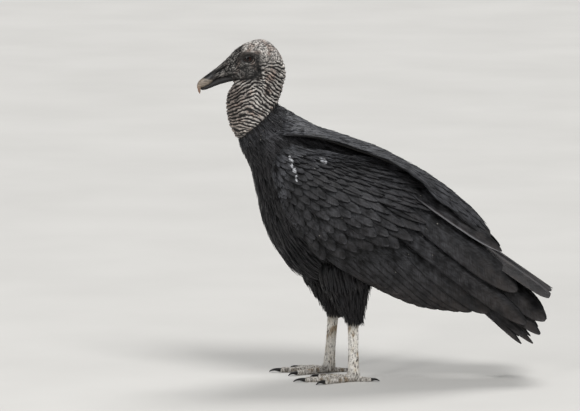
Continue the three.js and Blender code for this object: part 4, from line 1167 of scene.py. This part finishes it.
# What a vane has unless its own look says otherwise.
plainVane = {"crowd": 1.7, "sweep": 0.0, "shaft": 0.0, "shaftAt": 0.0, "tilt": 0.0, "flare": 0.0,
             "jitter": 0.25, "roll": 0.03, "curl": 0.0, "coveredTo": 0.3, "sideCover": 0.0}


# One vane as a closed blade: rings along it, each ring across the top and back underneath. Its half width is
# (1 - s^blunt)^0.6 (stem + (1 - stem) smooth(s / shoulder)); its arch is camber (1 - across^2), tilt raises
# one side and flare lifts its rim, and each ring and side is cut back by a random share so that the rim is a
# little ragged. It also says how far each place is left out of the painted shade that is laid where
# neighbours
# cover a vane: not up to coveredTo, and less on the side under the next vane.
def vaneShape(look, length, width, rng):
    look = dict(plainVane, **look)
    count, rings, top = len(length), look["rings"], look["across"]
    s = 1 - (1 - np.linspace(0, 1, rings)) ** look["crowd"]
    s = 0.003 + 0.992 * s
    across = np.concatenate([np.linspace(-1, 1, top), np.linspace(1, -1, top)[1:-1]])
    upper = np.concatenate([np.ones(top), np.zeros(top - 2)])
    broad = look["stem"] + (1 - look["stem"]) * smoothStep(s / look["shoulder"])
    half = (1 - s ** look["blunt"]) ** 0.6 * broad
    cut = 1 - look["fray"] * rng.random((count, rings, 2)) ** 2
    sideCut = np.where(across < 0, cut[..., :1], cut[..., 1:])
    reach = across * half[:, None] * sideCut
    aside = reach * (width / 2)[:, None, None]
    sweep = look["sweep"] * np.abs(reach) * (width / 2)[:, None, None] * smoothStep((s - 0.6) / 0.4)[:, None]
    along = s[:, None] * length[:, None, None] - sweep
    arch = look["camber"] * width[:, None, None] * (1 - reach ** 2)
    body = look["thick"] * (1 - across ** 2) * upper
    shaft = look["shaft"] * bell((across - look["shaftAt"]) / 0.12) * upper * (1 - s)[:, None] ** 0.5
    raised = across * np.sign(look["tilt"])
    height = arch + body + shaft + look["tilt"] * aside
    height = height + look["flare"] * smoothStep((raised - 0.3) / 0.7) * smoothStep(s / 0.3)[:, None]
    edge = np.maximum(np.abs(across) ** 3 * np.ones((rings, 1)), s[:, None] ** 5 * np.ones(len(across)))
    # Painted shade goes where the vane lies covered: up to coveredTo, and on the side under the next vane.
    unshaded = smoothStep((s[:, None] - look["coveredTo"]) / 0.3)
    unshaded = unshaded * (1 - look["sideCover"] * smoothStep((0.1 - raised) / 0.9))
    return {"s": s, "across": across, "along": along, "aside": aside, "height": height,
            "edge": np.broadcast_to(edge, aside.shape), "unshaded": np.broadcast_to(unshaded, aside.shape),
            "vane": np.stack(np.broadcast_arrays(aside, along), -1) * mm}


# Lays vanes on a surface of two parameters. heading turns from the first parameter towards the second, each
# millimetre is turned into steps of the parameters at the root, unless they are told to be level millimetres
# themselves, and every point is lifted along the normal. Lift goes from the root's to the tip's as s^1.3, so
# vanes lap like tiles, and each vane has its own small lift and roll.
def layVanes(surface, sign, steps, u, v, heading, length, width, look, rng, level=False):
    look = dict(plainVane, **look)
    shape = vaneShape(look, length, width, rng)
    du, dv = steps
    scaleU = np.linalg.norm(surface(u + du, v) - surface(u - du, v), axis=-1) / (2 * du)
    scaleV = np.linalg.norm(surface(u, v + dv) - surface(u, v - dv), axis=-1) / (2 * dv)
    if level:
        scaleU, scaleV = np.ones(len(u)), np.ones(len(u))
    c, n = np.cos(heading)[:, None, None], np.sin(heading)[:, None, None]
    pu = u[:, None, None] + (shape["along"] * c - shape["aside"] * n) / scaleU[:, None, None]
    pv = v[:, None, None] + (shape["along"] * n + shape["aside"] * c) / scaleV[:, None, None]
    base = surface(pu, pv)
    normal = normalsOf(surface, pu, pv, du, dv, sign)
    s = shape["s"][None, :, None]
    root, tip = look["lift"]
    jitter = look["jitter"] * rng.normal(size=(len(u), 1, 1))
    roll = look["roll"] * rng.normal(size=(len(u), 1, 1)) * shape["aside"]
    own = (jitter + roll) * smoothStep(s * 2)
    height = root + (tip - root) * s ** 1.3 + shape["height"] + own + look["curl"] * s ** 4
    return base + normal * height[..., None], shape


bakePatch = 0.003                                     # size of a small vane's patch on the OFBake map


# Joins vanes into one piece with its maps: vane holds how far across and along each vane a place lies, and
# OFBake gives each vane a small patch at its root's place on the surface's own unwrap, or a box of its own.
def featherPiece(name, points, shape, rootPlace, material, rng, worn, dusty, boxes=None):
    count, rings, sides = points.shape[:3]
    faces = ringFaces(rings, sides)[None] + (np.arange(count) * rings * sides)[:, None, None]
    ends = np.arange(sides)[None, :] + (np.arange(count) * rings * sides)[:, None]
    faces = [faces.reshape(-1, 4), ends[:, ::-1], ends + (rings - 1) * sides]
    lengthShare = np.broadcast_to(shape["s"][:, None], (rings, sides))
    acrossShare = np.broadcast_to(shape["across"] / 2, (rings, sides))
    local = np.stack([acrossShare, lengthShare - 0.5], -1)
    if boxes is None:
        bake = (0.01 + 0.98 * rootPlace)[:, None, None] + bakePatch * local[None]
    else:
        bake = boxes[:, None, None, :2] + (local[None] + 0.5) * boxes[:, None, None, 2:]
    held = {"tone": rng.random((count, 1, 1)), "edge": shape["edge"], "unshaded": shape["unshaded"],
            "worn": worn, "dusty": dusty}
    piece = makePiece(name, points.reshape(-1, 3), faces, material,
                      maps={"OFBake": bake.reshape(-1, 2), "vane": shape["vane"].reshape(-1, 2)},
                      values={key: np.broadcast_to(value, points.shape[:3]) for key, value in held.items()})
    fixFacing(piece)
    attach(piece, "root")
    print(name, count, "vanes,", count * (2 * (rings - 1) * sides + 2 * (sides - 2)), "triangles")
    return piece


# Coverts lie along rays from a point above the shoulder. reach says, for each angle below the level, where
# the wing's face begins along the ray and where the last coverts end, and tips how far along it each row
# ends.
coverts = {
    "pivot": (-158.0, 368.0),
    "reach": [[19, 195, 289], [21, 180, 291], [23, 151, 293], [28, 121, 303], [35.5, 103, 291],
              [39, 100, 276], [43, 98, 259], [46, 99, 247], [48.5, 101, 245], [51.6, 108, 245],
              [54.6, 122, 236], [56.6, 133, 196], [57.6, 146, 166]],
    "tips": [0.0, 0.07, 0.14, 0.22, 0.31, 0.42, 0.54, 0.67, 0.81, 0.96, 1.1],
    "inset": 17.0, "width": (9.0, 27.0), "crowd": 0.74, "lap": 2.3,
    "narrow": ([19, 27, 33, 38], [0.34, 0.4, 0.7, 1.0]), "longer": ([19, 27, 33, 38], [1.7, 1.5, 1.15, 1.0]),
    "look": {"rings": 12, "across": 9, "blunt": 2.3, "stem": 0.5, "shoulder": 0.35, "fray": 0.07,
             "camber": 0.03, "thick": 0.35, "shaft": 0.25, "lift": (-3.0, 0.6), "curl": 0.5, "sweep": 0.1,
             "tilt": -0.065, "flare": 1.1, "jitter": 0.15, "roll": 0.015, "coveredTo": 0.4,
             "sideCover": 0.75},
}


# Rows of coverts: in each row the vanes stand side by side along the arc of its tips, and are as long as to
# reach back under the rows before it.
def makeCoverts(side):
    rng = np.random.default_rng(31 if side > 0 else 32)
    reach = np.array(coverts["reach"], float)
    roots = []
    for row, tip in enumerate(coverts["tips"]):
        before = coverts["tips"][row - 1] if row else -0.06
        share = row / (len(coverts["tips"]) - 1)
        width = coverts["width"][0] + (coverts["width"][1] - coverts["width"][0]) * share ** 1.2
        angle = np.radians(np.linspace(reach[0, 0], reach[-1, 0], 400))
        start = np.interp(np.degrees(angle), reach[:, 0], reach[:, 1]) + coverts["inset"]
        end = np.interp(np.degrees(angle), reach[:, 0], reach[:, 2])
        slim = np.interp(np.degrees(angle), *coverts["narrow"])
        tipAt = start + tip * (end - start)
        steps = np.hypot(np.diff(tipAt), tipAt[1:] * np.diff(angle)) / slim[1:]
        arc = np.concatenate([[0], np.cumsum(steps)])
        count = max(int(arc[-1] / (width * coverts["crowd"])), 3)
        at = (np.arange(count) + 0.5 * (row % 2) + 0.09 * rng.normal(size=count)) / count * arc[-1]
        phi = np.interp(at, arc, angle)
        startHere, endHere = np.interp(phi, angle, start), np.interp(phi, angle, end)
        tipHere = startHere + tip * (endHere - startHere)
        spacing = (tip - before) * (endHere - startHere)
        scale = np.clip((endHere - startHere) / 120, 0.5, 1.15)
        slimHere = np.interp(np.degrees(phi), *coverts["narrow"])
        wide = width * scale * slimHere * (1 + 0.05 * rng.normal(size=count))
        long = np.maximum(coverts["lap"] * spacing, 1.5 * wide / slimHere)
        long = long * np.interp(np.degrees(phi), *coverts["longer"]) * (1 + 0.05 * rng.normal(size=count))
        roots.append(np.stack([phi, tipHere + 0.8 * rng.normal(size=count) - long, long, wide,
                               np.full(count, share)], -1))
    phi, r, long, wide, share = np.concatenate(roots).T
    y = coverts["pivot"][0] + r * np.cos(phi)
    z = coverts["pivot"][1] - r * np.sin(phi)
    heading = -phi + np.radians(3.0) * rng.normal(size=len(phi))
    points, shape = layVanes(wingAt, 1, (0.2, 0.2), y, z, heading, long, wide, coverts["look"], rng)
    # Pale powder, most on the upper rows: dust, and a painted sheen where the wing's top faces the sky.
    dusty = (0.85 - 0.6 * smoothStep((share - 0.1) / 0.3) + 0.3 * bell((share - 0.75) / 0.2))[:, None, None]
    worn = (0.1 + 0.25 * share)[:, None, None]
    place = np.stack([(y + 120) / 260, (z - 100) / 260], -1)
    featherPiece("wing_covert_vanes_" + sideNames[side], points * [side, 1, 1], shape, np.clip(place, 0, 1),
                 featherSurface, rng, worn, dusty)


# Flight feathers of one wing in side view: root, tip, width, bluntness and how deep each lies.
flight = {
    "tertials": [[84, 268, 215, 172, 22, 5, 0], [80, 246, 236, 121, 38, 7, 1], [62, 228, 248, 77, 32, 7, 2]],
    "secondaries": [[-24, 186, 64, 130, 32, 8, 3.2], [-12, 188, 79, 121, 34, 8, 3.35],
                    [-2, 190, 93, 114, 36, 8, 3.5], [10, 191, 107, 108, 38, 8, 3.65],
                    [20, 192, 121, 103, 38, 8, 3.8], [31, 192, 135, 100, 38, 8, 3.95],
                    [42, 192, 149, 98, 38, 8, 4.1], [53, 192, 163, 96, 38, 8, 4.25],
                    [64, 192, 177, 95, 38, 8, 4.4], [90, 190, 200, 94, 40, 8, 4.6]],
    "primaries": [[150, 190, 276, 82, 38, 6, 5.2], [148, 166, 268, 63, 24, 5, 5.5],
                  [150, 146, 258, 50, 17, 3, 5.8], [146, 150, 242, 49, 17, 3, 6.1]],
    "layer": (1.0, 1.9),             # depth of the topmost layer, and of each one below it
    "rolledFlare": 3.4,              # the topmost tertial's rolled edge, which catches the light
    "look": {"rings": 64, "across": 15, "crowd": 1.25, "stem": 0.8, "shoulder": 0.33, "fray": 0.03,
             "camber": 0.02, "thick": 0.4, "shaft": 0.75, "shaftAt": 0.25, "lift": (0.0, 0.0), "curl": 0.0,
             "jitter": 0.0, "roll": 0.0, "tilt": -0.06, "flare": 1.4, "coveredTo": 0.1, "sideCover": 0.85},
}


# Boxes of an even table for count vanes, each as corner and size, for vanes large enough to have their own.
def atlasBoxes(count):
    columns = int(np.ceil(count / 2))
    i = np.arange(count)
    return np.stack([(i % columns + 0.04) / columns, (i // columns + 0.04) / 2,
                     np.full(count, 0.92 / columns), np.full(count, 0.46)], -1)


# One group of flight feathers, each laid alone at its own depth and then joined into one piece.
def makeFlight(group, side):
    rng = np.random.default_rng(41 + len(group) + (side > 0))
    laid, shapes = [], []
    for rootY, rootZ, tipY, tipZ, width, blunt, layer in flight[group]:
        look = dict(flight["look"], blunt=blunt)
        depth = flight["layer"][0] + layer * flight["layer"][1]
        look["lift"] = (-depth, -depth)
        if layer == 0:
            look["flare"] = flight["rolledFlare"]
        length = np.array([np.hypot(tipY - rootY, tipZ - rootZ)])
        heading = np.array([np.arctan2(tipZ - rootZ, tipY - rootY)])
        points, shape = layVanes(wingAt, 1, (0.2, 0.2), np.array([float(rootY)]), np.array([float(rootZ)]),
                                 heading, length, np.array([float(width)]), look, rng, level=True)
        laid.append(points)
        shapes.append(shape)
    points = np.concatenate(laid)
    joined = {key: np.concatenate([each[key] for each in shapes]) for key in ("edge", "unshaded", "vane")}
    shape = dict(shapes[0], **joined)
    worn = (0.15 + 0.45 * smoothStep((shape["s"] - 0.4) / 0.6))[None, :, None]
    rolled = np.array([each[6] == 0 for each in flight[group]])[:, None, None]
    # The top tertial's rolled edge is painted pale grey, a painted highlight where it catches the light.
    rim = smoothStep((-0.55 - shape["across"]) / 0.3)[None, None]
    rim = rim * smoothStep(shape["s"] / 0.2)[None, :, None]
    worn = worn + (1.55 - worn) * rim * rolled         # more than 1 turns pale grey: a painted highlight on the rolled edge
    dusty = (0.4 * (1 - shape["s"]) + 0.15)[None, :, None]
    piece = featherPiece("wing_%s_vanes_%s" % (group, sideNames[side]), points * [side, 1, 1], shape, None,
                         flightSurface, rng, worn, dusty, boxes=atlasBoxes(len(points)))
    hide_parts("wing_%s_%s" % (group, sideNames[side]))


mantle = {
    "rows": 33, "first": -94, "run": 287, "gather": 1.35,      # rows y = first + run share^gather
    "width": (4.2, 16), "length": (18, 36), "crowd": 0.72,     # at the first row, and what the last has more
    "outermost": 0.93, "last": 216,                            # share across, and no tip is past this y
    "look": {"rings": 9, "across": 7, "blunt": 3.0, "stem": 0.4, "shoulder": 0.35, "fray": 0.12,
             "camber": 0.02, "thick": 0.3, "shaft": 0.2, "lift": (-2.2, -0.2), "curl": 0.2, "sweep": 0.12,
             "jitter": 0.15, "coveredTo": 0.15},
    "rim": {"rings": 16, "across": 7, "blunt": 3.5, "stem": 0.5, "shoulder": 0.3, "fray": 0.08,
            "camber": 0.03, "thick": 0.5, "shaft": 0.3, "lift": (-1.2, -0.8), "jitter": 0.1, "roll": 0.0,
            "coveredTo": 0.2},
    "rimPlaces": (-86, 150, 17), "rimAcross": 0.955,           # first and last y, and how many to a side
    "rimLength": ([-86, 0, 150], [34, 62, 66]), "rimWidth": ([-86, 0, 150], [5, 7, 9]),
}


# Where feathers of the mantle have their patches on the OFBake map.
def mantlePlace(y, across):
    return np.clip(np.stack([(y + 100) / 330, across * 0.45 + 0.5], -1), 0, 1)


# Back feathers: rows across the mantle that grow longer and wider towards the tail, turned outwards as
# across (1 - across^2), and a last overlapping run of long ones along each edge, which make the eave's rim.
def makeMantle():
    rng = np.random.default_rng(51)
    rowsY = mantle["first"] + mantle["run"] * np.linspace(0, 1, mantle["rows"]) ** mantle["gather"]
    edgeY, edgeReach = [r[0] for r in mantleRows], [r[2] for r in mantleRows]
    found = []
    for row, y in enumerate(rowsY):
        share = row / (mantle["rows"] - 1)
        wide = mantle["width"][0] + mantle["width"][1] * share
        reach = np.interp(y, edgeY, edgeReach)
        further = np.interp(y + 12 + 20 * share, edgeY, edgeReach)
        count = max(int(2.3 * max(further, reach) / (wide * mantle["crowd"])), 4)
        wide *= min(reach / further, 1.0)       # they widen with the back
        across = np.linspace(-mantle["outermost"], mantle["outermost"], count)
        across = across + (row % 2 - 0.5) * 0.9 / count + 0.02 * rng.normal(size=count)
        long = (mantle["length"][0] + mantle["length"][1] * share) * (1 + 0.06 * rng.normal(size=count))
        found.append(np.stack([y + 2 * rng.normal(size=count), across, long, np.full(count, wide)], -1))
    y, across, long, wide = np.concatenate(found).T
    keep = (np.abs(across) < 0.97) & (y + long < mantle["last"])
    y, across, long, wide = y[keep], across[keep], long[keep], wide[keep]
    loose = np.radians(3 - 2.5 * across ** 2) * rng.normal(size=len(y))
    heading = np.radians(13) * across * (1 - across ** 2) + loose
    points, shape = layVanes(mantleAt, -1, (0.2, 0.004), y, across, heading, long, wide, mantle["look"], rng)
    # Pale powder, most on the fore mantle: dust, and a painted sheen on the cape's top.
    dusty = (0.7 + 0.6 * bell((y + 40) / 60))[:, None, None]
    piece = featherPiece("mantle_vanes", points, shape, mantlePlace(y, across), featherSurface, rng, 0.12,
                         dusty)
    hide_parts("mantle")

    y = np.concatenate([np.linspace(*mantle["rimPlaces"])] * 2)
    y = y + 1.5 * rng.normal(size=len(y))
    across = np.repeat([mantle["rimAcross"], -mantle["rimAcross"]], len(y) // 2)
    long, wide = np.interp(y, *mantle["rimLength"]), np.interp(y, *mantle["rimWidth"])
    heading = np.radians(-0.7) * np.sign(across)
    points, shape = layVanes(mantleAt, -1, (0.2, 0.004), y, across, heading, long, wide, mantle["rim"], rng)
    # Pale powder on the rim's vanes: dust, and a painted highlight along the eave's rim.
    featherPiece("mantle_rim_vanes", points, shape, mantlePlace(y, across), flightSurface, rng, 0.1, 0.3)


coatFirstRow = 8.0                                    # the body row where the coat begins

# Webs lie under as broad plates, tufts over them as narrow loose points, and the fringe hangs from the
# flanks. spacing, length and width are at the collar and at the tail. hangs says between which y and which z
# the fringe's feathers start, and the share of them that stays.
coat = {
    "webs": {"spacing": (3.6, 10.0), "length": (11.0, 32.0), "width": (4.2, 13.0), "crowd": 0.78,
             "look": {"rings": 6, "across": 5, "blunt": 2.4, "stem": 0.45, "shoulder": 0.4, "fray": 0.3,
                      "camber": 0.02, "thick": 0.3, "lift": (-3.0, -1.0), "jitter": 0.15, "roll": 0.02,
                      "sweep": 0.2, "coveredTo": 0.2}},
    "tufts": {"spacing": (2.6, 7.0), "length": (8.0, 24.0), "width": (1.9, 3.4), "crowd": 1.5,
              "look": {"rings": 6, "across": 3, "blunt": 1.7, "stem": 0.35, "shoulder": 0.45, "fray": 0.2,
                       "camber": 0.05, "thick": 0.3, "lift": (-2.4, -0.4), "jitter": 0.2, "roll": 0.02,
                       "coveredTo": 0.15}},
    "fringe": {"spacing": (5.0, 5.0), "length": (36.0, 36.0), "width": (3.2, 3.6), "crowd": 1.1,
               "hangs": (-86, 20, 148, 205, 0.75),
               "look": {"rings": 9, "across": 3, "blunt": 1.6, "stem": 0.35, "shoulder": 0.35, "fray": 0.4,
                        "camber": 0.05, "thick": 0.3, "lift": (-2.0, 4.2), "jitter": 1.0, "roll": 0.1,
                        "coveredTo": 0.1}},
}


# Contour feathers of neck, breast, belly and back: rows along the body's sections from the collar to the
# vent, closer and shorter near the neck. Places under the folded wings and the mantle are left out. The
# fringe hangs from the flanks over the tops of the thighs.
def makeCoat(kind, seed):
    rng = np.random.default_rng(seed)
    plan = coat[kind]
    t = np.linspace(0, 1, 3000)
    middle = 0.5 * (bodyAt(t, np.zeros(1)) + bodyAt(t, np.full(1, np.pi)))
    path = np.concatenate([[0], np.cumsum(np.linalg.norm(np.diff(middle, axis=0), axis=1))])
    begin = np.interp(coatFirstRow / (len(bodyRows) - 1), t, path)
    found, at, row = [], begin, 0
    while at < path[-1] - 4:
        grown = smoothStep((at - begin) / 170)
        spacing, long, wide = (plan[key][0] + (plan[key][1] - plan[key][0]) * grown
                               for key in ("spacing", "length", "width"))
        here = np.interp(at, path, t)
        around = np.linspace(0, 2 * np.pi, 90)
        ring = bodyAt(np.full(len(around), here), around)
        arc = np.concatenate([[0], np.cumsum(np.linalg.norm(np.diff(ring, axis=0), axis=1))])
        count = max(int(arc[-1] / (wide * plan["crowd"])), 6)
        where = (np.arange(count) + 0.5 * (row % 2) + 0.3 * rng.normal(size=count)) / count % 1.0
        angle = np.interp(where * arc[-1], arc, around)
        tHere = np.interp(at + 0.3 * spacing * rng.normal(size=count), path, t)
        found.append(np.stack([tHere, angle, np.full(count, long), np.full(count, wide)], -1))
        at += spacing
        row += 1
    t, angle, long, wide = np.concatenate(found).T
    base = bodyAt(t, angle)
    long = long * (1 + 0.1 * rng.normal(size=len(long)))
    wide = wide * (1 + 0.1 * rng.normal(size=len(wide)))
    x, y, z = np.abs(base[:, 0]), base[:, 1], base[:, 2]
    wing = smoothRows(wingRows, shareAt(wingRows, y))
    underWing = (x > 26) & (y > -50) & (z < wing[:, 2] - 6) & (z > wing[:, 4] + 16)
    underMantle = (y > -40) & (z > np.interp(y, [r[0] for r in mantleRows], [r[3] for r in mantleRows]) + 2)
    keep = (aboveCollar(base) < -1.0) & ~underWing & ~underMantle
    if "hangs" in plan:
        fromY, toY, fromZ, toZ, stays = plan["hangs"]
        keep &= (y > fromY) & (y < toY) & (z > fromZ) & (z < toZ) & (rng.random(len(y)) < stays)
    t, angle, long, wide = t[keep], angle[keep], long[keep], wide[keep]
    heading = np.radians(5) * rng.normal(size=len(t))
    points, shape = layVanes(bodyAt, -1, (2e-4, 2e-3), t, angle, heading, long, wide, plan["look"], rng)
    place = np.clip(np.stack([t, angle / (2 * np.pi)], -1), 0, 1)
    # Pale powder, most at the nape: dust, and a painted sheen on the cape.
    nape = bell((z[keep] - 345) / 26)
    dusty = (0.3 + 0.5 * nape)[:, None, None]
    featherPiece("body_%s_vanes" % kind, points, shape, place, featherSurface, rng, 0.3, dusty)


trousers = {
    "rows": 30, "places": (0.12, 0.66),                # share down the leg of the first row, and the run
    "count": ([0.1, 0.5, 0.8], [30, 26, 14]), "length": ([0.1, 0.5, 0.8], [30, 24, 15]), "width": (6.5, 2.5),
    "look": {"rings": 8, "across": 5, "blunt": 1.6, "stem": 0.35, "shoulder": 0.35, "fray": 0.5,
             "camber": 0.05, "thick": 0.3, "lift": (-3.4, 1.0), "jitter": 0.8, "roll": 0.12, "sweep": 0.25},
}


# Shin feathers: narrow, loose and hanging, in rings from the belly to the ankle.
def makeTrousers(side):
    leg = legPlan[side]
    rng = np.random.default_rng(71 if side == "left" else 72)
    found = []
    for row in range(trousers["rows"]):
        t = trousers["places"][0] + trousers["places"][1] * row / (trousers["rows"] - 1)
        count = int(np.interp(t, *trousers["count"]))
        angle = (np.arange(count) + 0.5 * (row % 2) + 0.25 * rng.normal(size=count)) / count * 2 * np.pi
        long = np.interp(t, *trousers["length"]) * (1 + 0.12 * rng.normal(size=count))
        wide = np.full(count, trousers["width"][0] - trousers["width"][1] * t)
        found.append(np.stack([np.full(count, t) + 0.012 * rng.normal(size=count), angle, long, wide], -1))
    t, angle, long, wide = np.concatenate(found).T
    heading = np.radians(7) * rng.normal(size=len(t))
    points, shape = layVanes(lambda t, angle: thighAt(leg, t, angle), -1, (1e-3, 2e-3), t, angle, heading,
                             long, wide, trousers["look"], rng)
    place = np.clip(np.stack([t, (angle / (2 * np.pi)) % 1], -1), 0, 1)
    featherPiece("trouser_vanes_" + side, points, shape, place, featherSurface, rng, 0.35, 0.1)


tail = {
    "root": (112, 236), "tip": (284, 117), "pairs": 5, "rootStep": 2.6, "tipStep": 7.4, "shorter": 1.2,
    "raised": 0.9, "drop": 1.7, "width": 17.0, "split": 2.5, "apart": 1.3, "roof": 0.16,
    "look": {"rings": 60, "across": 13, "crowd": 1.15, "blunt": 16, "stem": 0.75, "shoulder": 0.4,
             "fray": 0.03, "camber": 0.03, "thick": 0.4, "shaft": 0.7, "coveredTo": 0.1},
}


# Tail feathers as straight blades: root + along (tip - root) + across side, lifted along the fan's normal.
# Each pair turns down a little more than the last, like a roof, and beyond the split the pairs lie apart.
def makeTail():
    rng = np.random.default_rng(81)
    count = 2 * tail["pairs"] + 1
    k = np.arange(count) - tail["pairs"]
    drop = np.abs(k) * tail["drop"] + tail["apart"] * np.where(np.abs(k) > tail["split"], 1, -1)
    roots = np.stack([k * tail["rootStep"], tail["root"][0] + 0.0 * k, tail["root"][1] - drop], -1)
    tips = np.stack([k * tail["tipStep"], tail["tip"][0] - np.abs(k) * tail["shorter"],
                     tail["tip"][1] + np.abs(k) * tail["raised"] - drop], -1)
    run = tips - roots
    length = np.linalg.norm(run, axis=1)
    run = run / length[:, None]
    side = np.cross(run, [0, 0, 1.0])
    side /= np.linalg.norm(side, axis=1, keepdims=True)
    up = np.cross(side, run)
    roof = (k * tail["roof"])[:, None]
    side, up = side * np.cos(roof) - up * np.sin(roof), up * np.cos(roof) + side * np.sin(roof)
    shape = vaneShape(tail["look"], length, np.full(count, tail["width"]), rng)
    points = roots[:, None, None]
    for way, key in ((run, "along"), (side, "aside"), (up, "height")):
        points = points + way[:, None, None] * shape[key][..., None]
    worn = (0.1 + 0.3 * shape["s"])[None, :, None]
    worn = worn + (1.45 - worn) * smoothStep((np.abs(shape["across"]) - 0.72) / 0.2)[None, None]
    piece = featherPiece("tail_vanes", points, shape, None, flightSurface, rng, worn, 0.15,
                         boxes=atlasBoxes(count))
    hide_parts("tail")


makeCoat("webs", 61)
makeCoat("tufts", 62)
makeCoat("fringe", 63)
makeMantle()
for side in (1, -1):
    makeCoverts(side)
    for group in ("tertials", "secondaries", "primaries"):
        makeFlight(group, side)
makeTrousers("left")
makeTrousers("right")
makeTail()

# In metres: the camera looks at aim from the left side and a little above. Each lamp has its place, kind,
# size and power. A sun's size is its angle, and its power the light on a square metre that faces it.
studio = {
    "elevation": 7.0, "distance": 6.0, "lens": 280.0, "aim": (0.0, -0.1139, 0.2305),
    "lamps": (("key", (1.5, 0.7, 2.6), "SUN", 0.4, 1.95), ("rim", (-1.4, 0.5, 3.0), "SUN", 0.4, 1.75),
              ("catch", (2.1, -1.35, 1.3), "AREA", 0.45, 17.0)),
    "sky": "#eef1f4", "skyPower": 0.33, "floorHalf": 20000.0,
}


# Floor: matt painted board, pale and even, so that it takes soft shadows and shows no pattern of its own.
def matteFloor():
    material, tree, shader = newMaterial("pale_matt_floor", {"Roughness": 0.9})
    place = addNode(tree, "TexCoord", output="Object")
    mottle = addNode(tree, "TexNoise", {"Vector": place, "Scale": 3.0, "Detail": 4.0})
    colour = addNode(tree, "ValToRGB", {0: mottle}, stops=[(0.3, "#bfbdb9"), (0.7, "#c6c4c0")])
    tree.links.new(colour, shader.inputs["Base Color"])
    return material


# A square floor, an even sky and the lamps, each turned to the aim.
def makeStage():
    half = studio["floorHalf"]
    corners = np.array([[-half, -half, 0], [half, -half, 0], [half, half, 0], [-half, half, 0]], float)
    floor = makePiece("floor", corners, [np.array([[0, 1, 2, 3]])], matteFloor())
    world = bpy.data.worlds.new("studio")
    bpy.context.scene.world = world
    world.use_nodes = True
    background = world.node_tree.nodes["Background"]
    background.inputs[0].default_value = linear(studio["sky"])
    background.inputs[1].default_value = studio["skyPower"]
    for name, place, kind, size, power in studio["lamps"]:
        lamp = bpy.data.lights.new(name, kind)
        lamp.energy = power
        if kind == "SUN":
            lamp.angle = size
        else:
            lamp.shape, lamp.size = "DISK", size
        holder = addObject(name, lamp)
        holder.location = place
        holder.rotation_euler = lookAlong(np.array(studio["aim"]) - np.array(place))


# Turns for an object that looks along its own -z, so that it looks along aim: tilted from straight down by
# atan2(level, -z), then turned by atan2(-x, y).
def lookAlong(aim):
    level = np.hypot(aim[0], aim[1])
    return (np.arctan2(level, -aim[2]), 0.0, np.arctan2(-aim[0], aim[1]))


# The camera stands at aim + distance (cos, 0, sin) of its elevation.
def makeCamera():
    camera = bpy.data.cameras.new("camera")
    camera.lens, camera.sensor_width = studio["lens"], 36.0
    camera.clip_end = 100.0
    holder = addObject("camera", camera)
    rise = np.radians(studio["elevation"])
    away = np.array([np.cos(rise), 0.0, np.sin(rise)]) * studio["distance"]
    holder.location = tuple(np.array(studio["aim"]) + away)
    holder.rotation_euler = lookAlong(-away)
    bpy.context.scene.camera = holder


makeStage()
makeCamera()
print("stage made")

bpy.context.scene.view_settings.view_transform = "Standard"   # shows the colours as they are
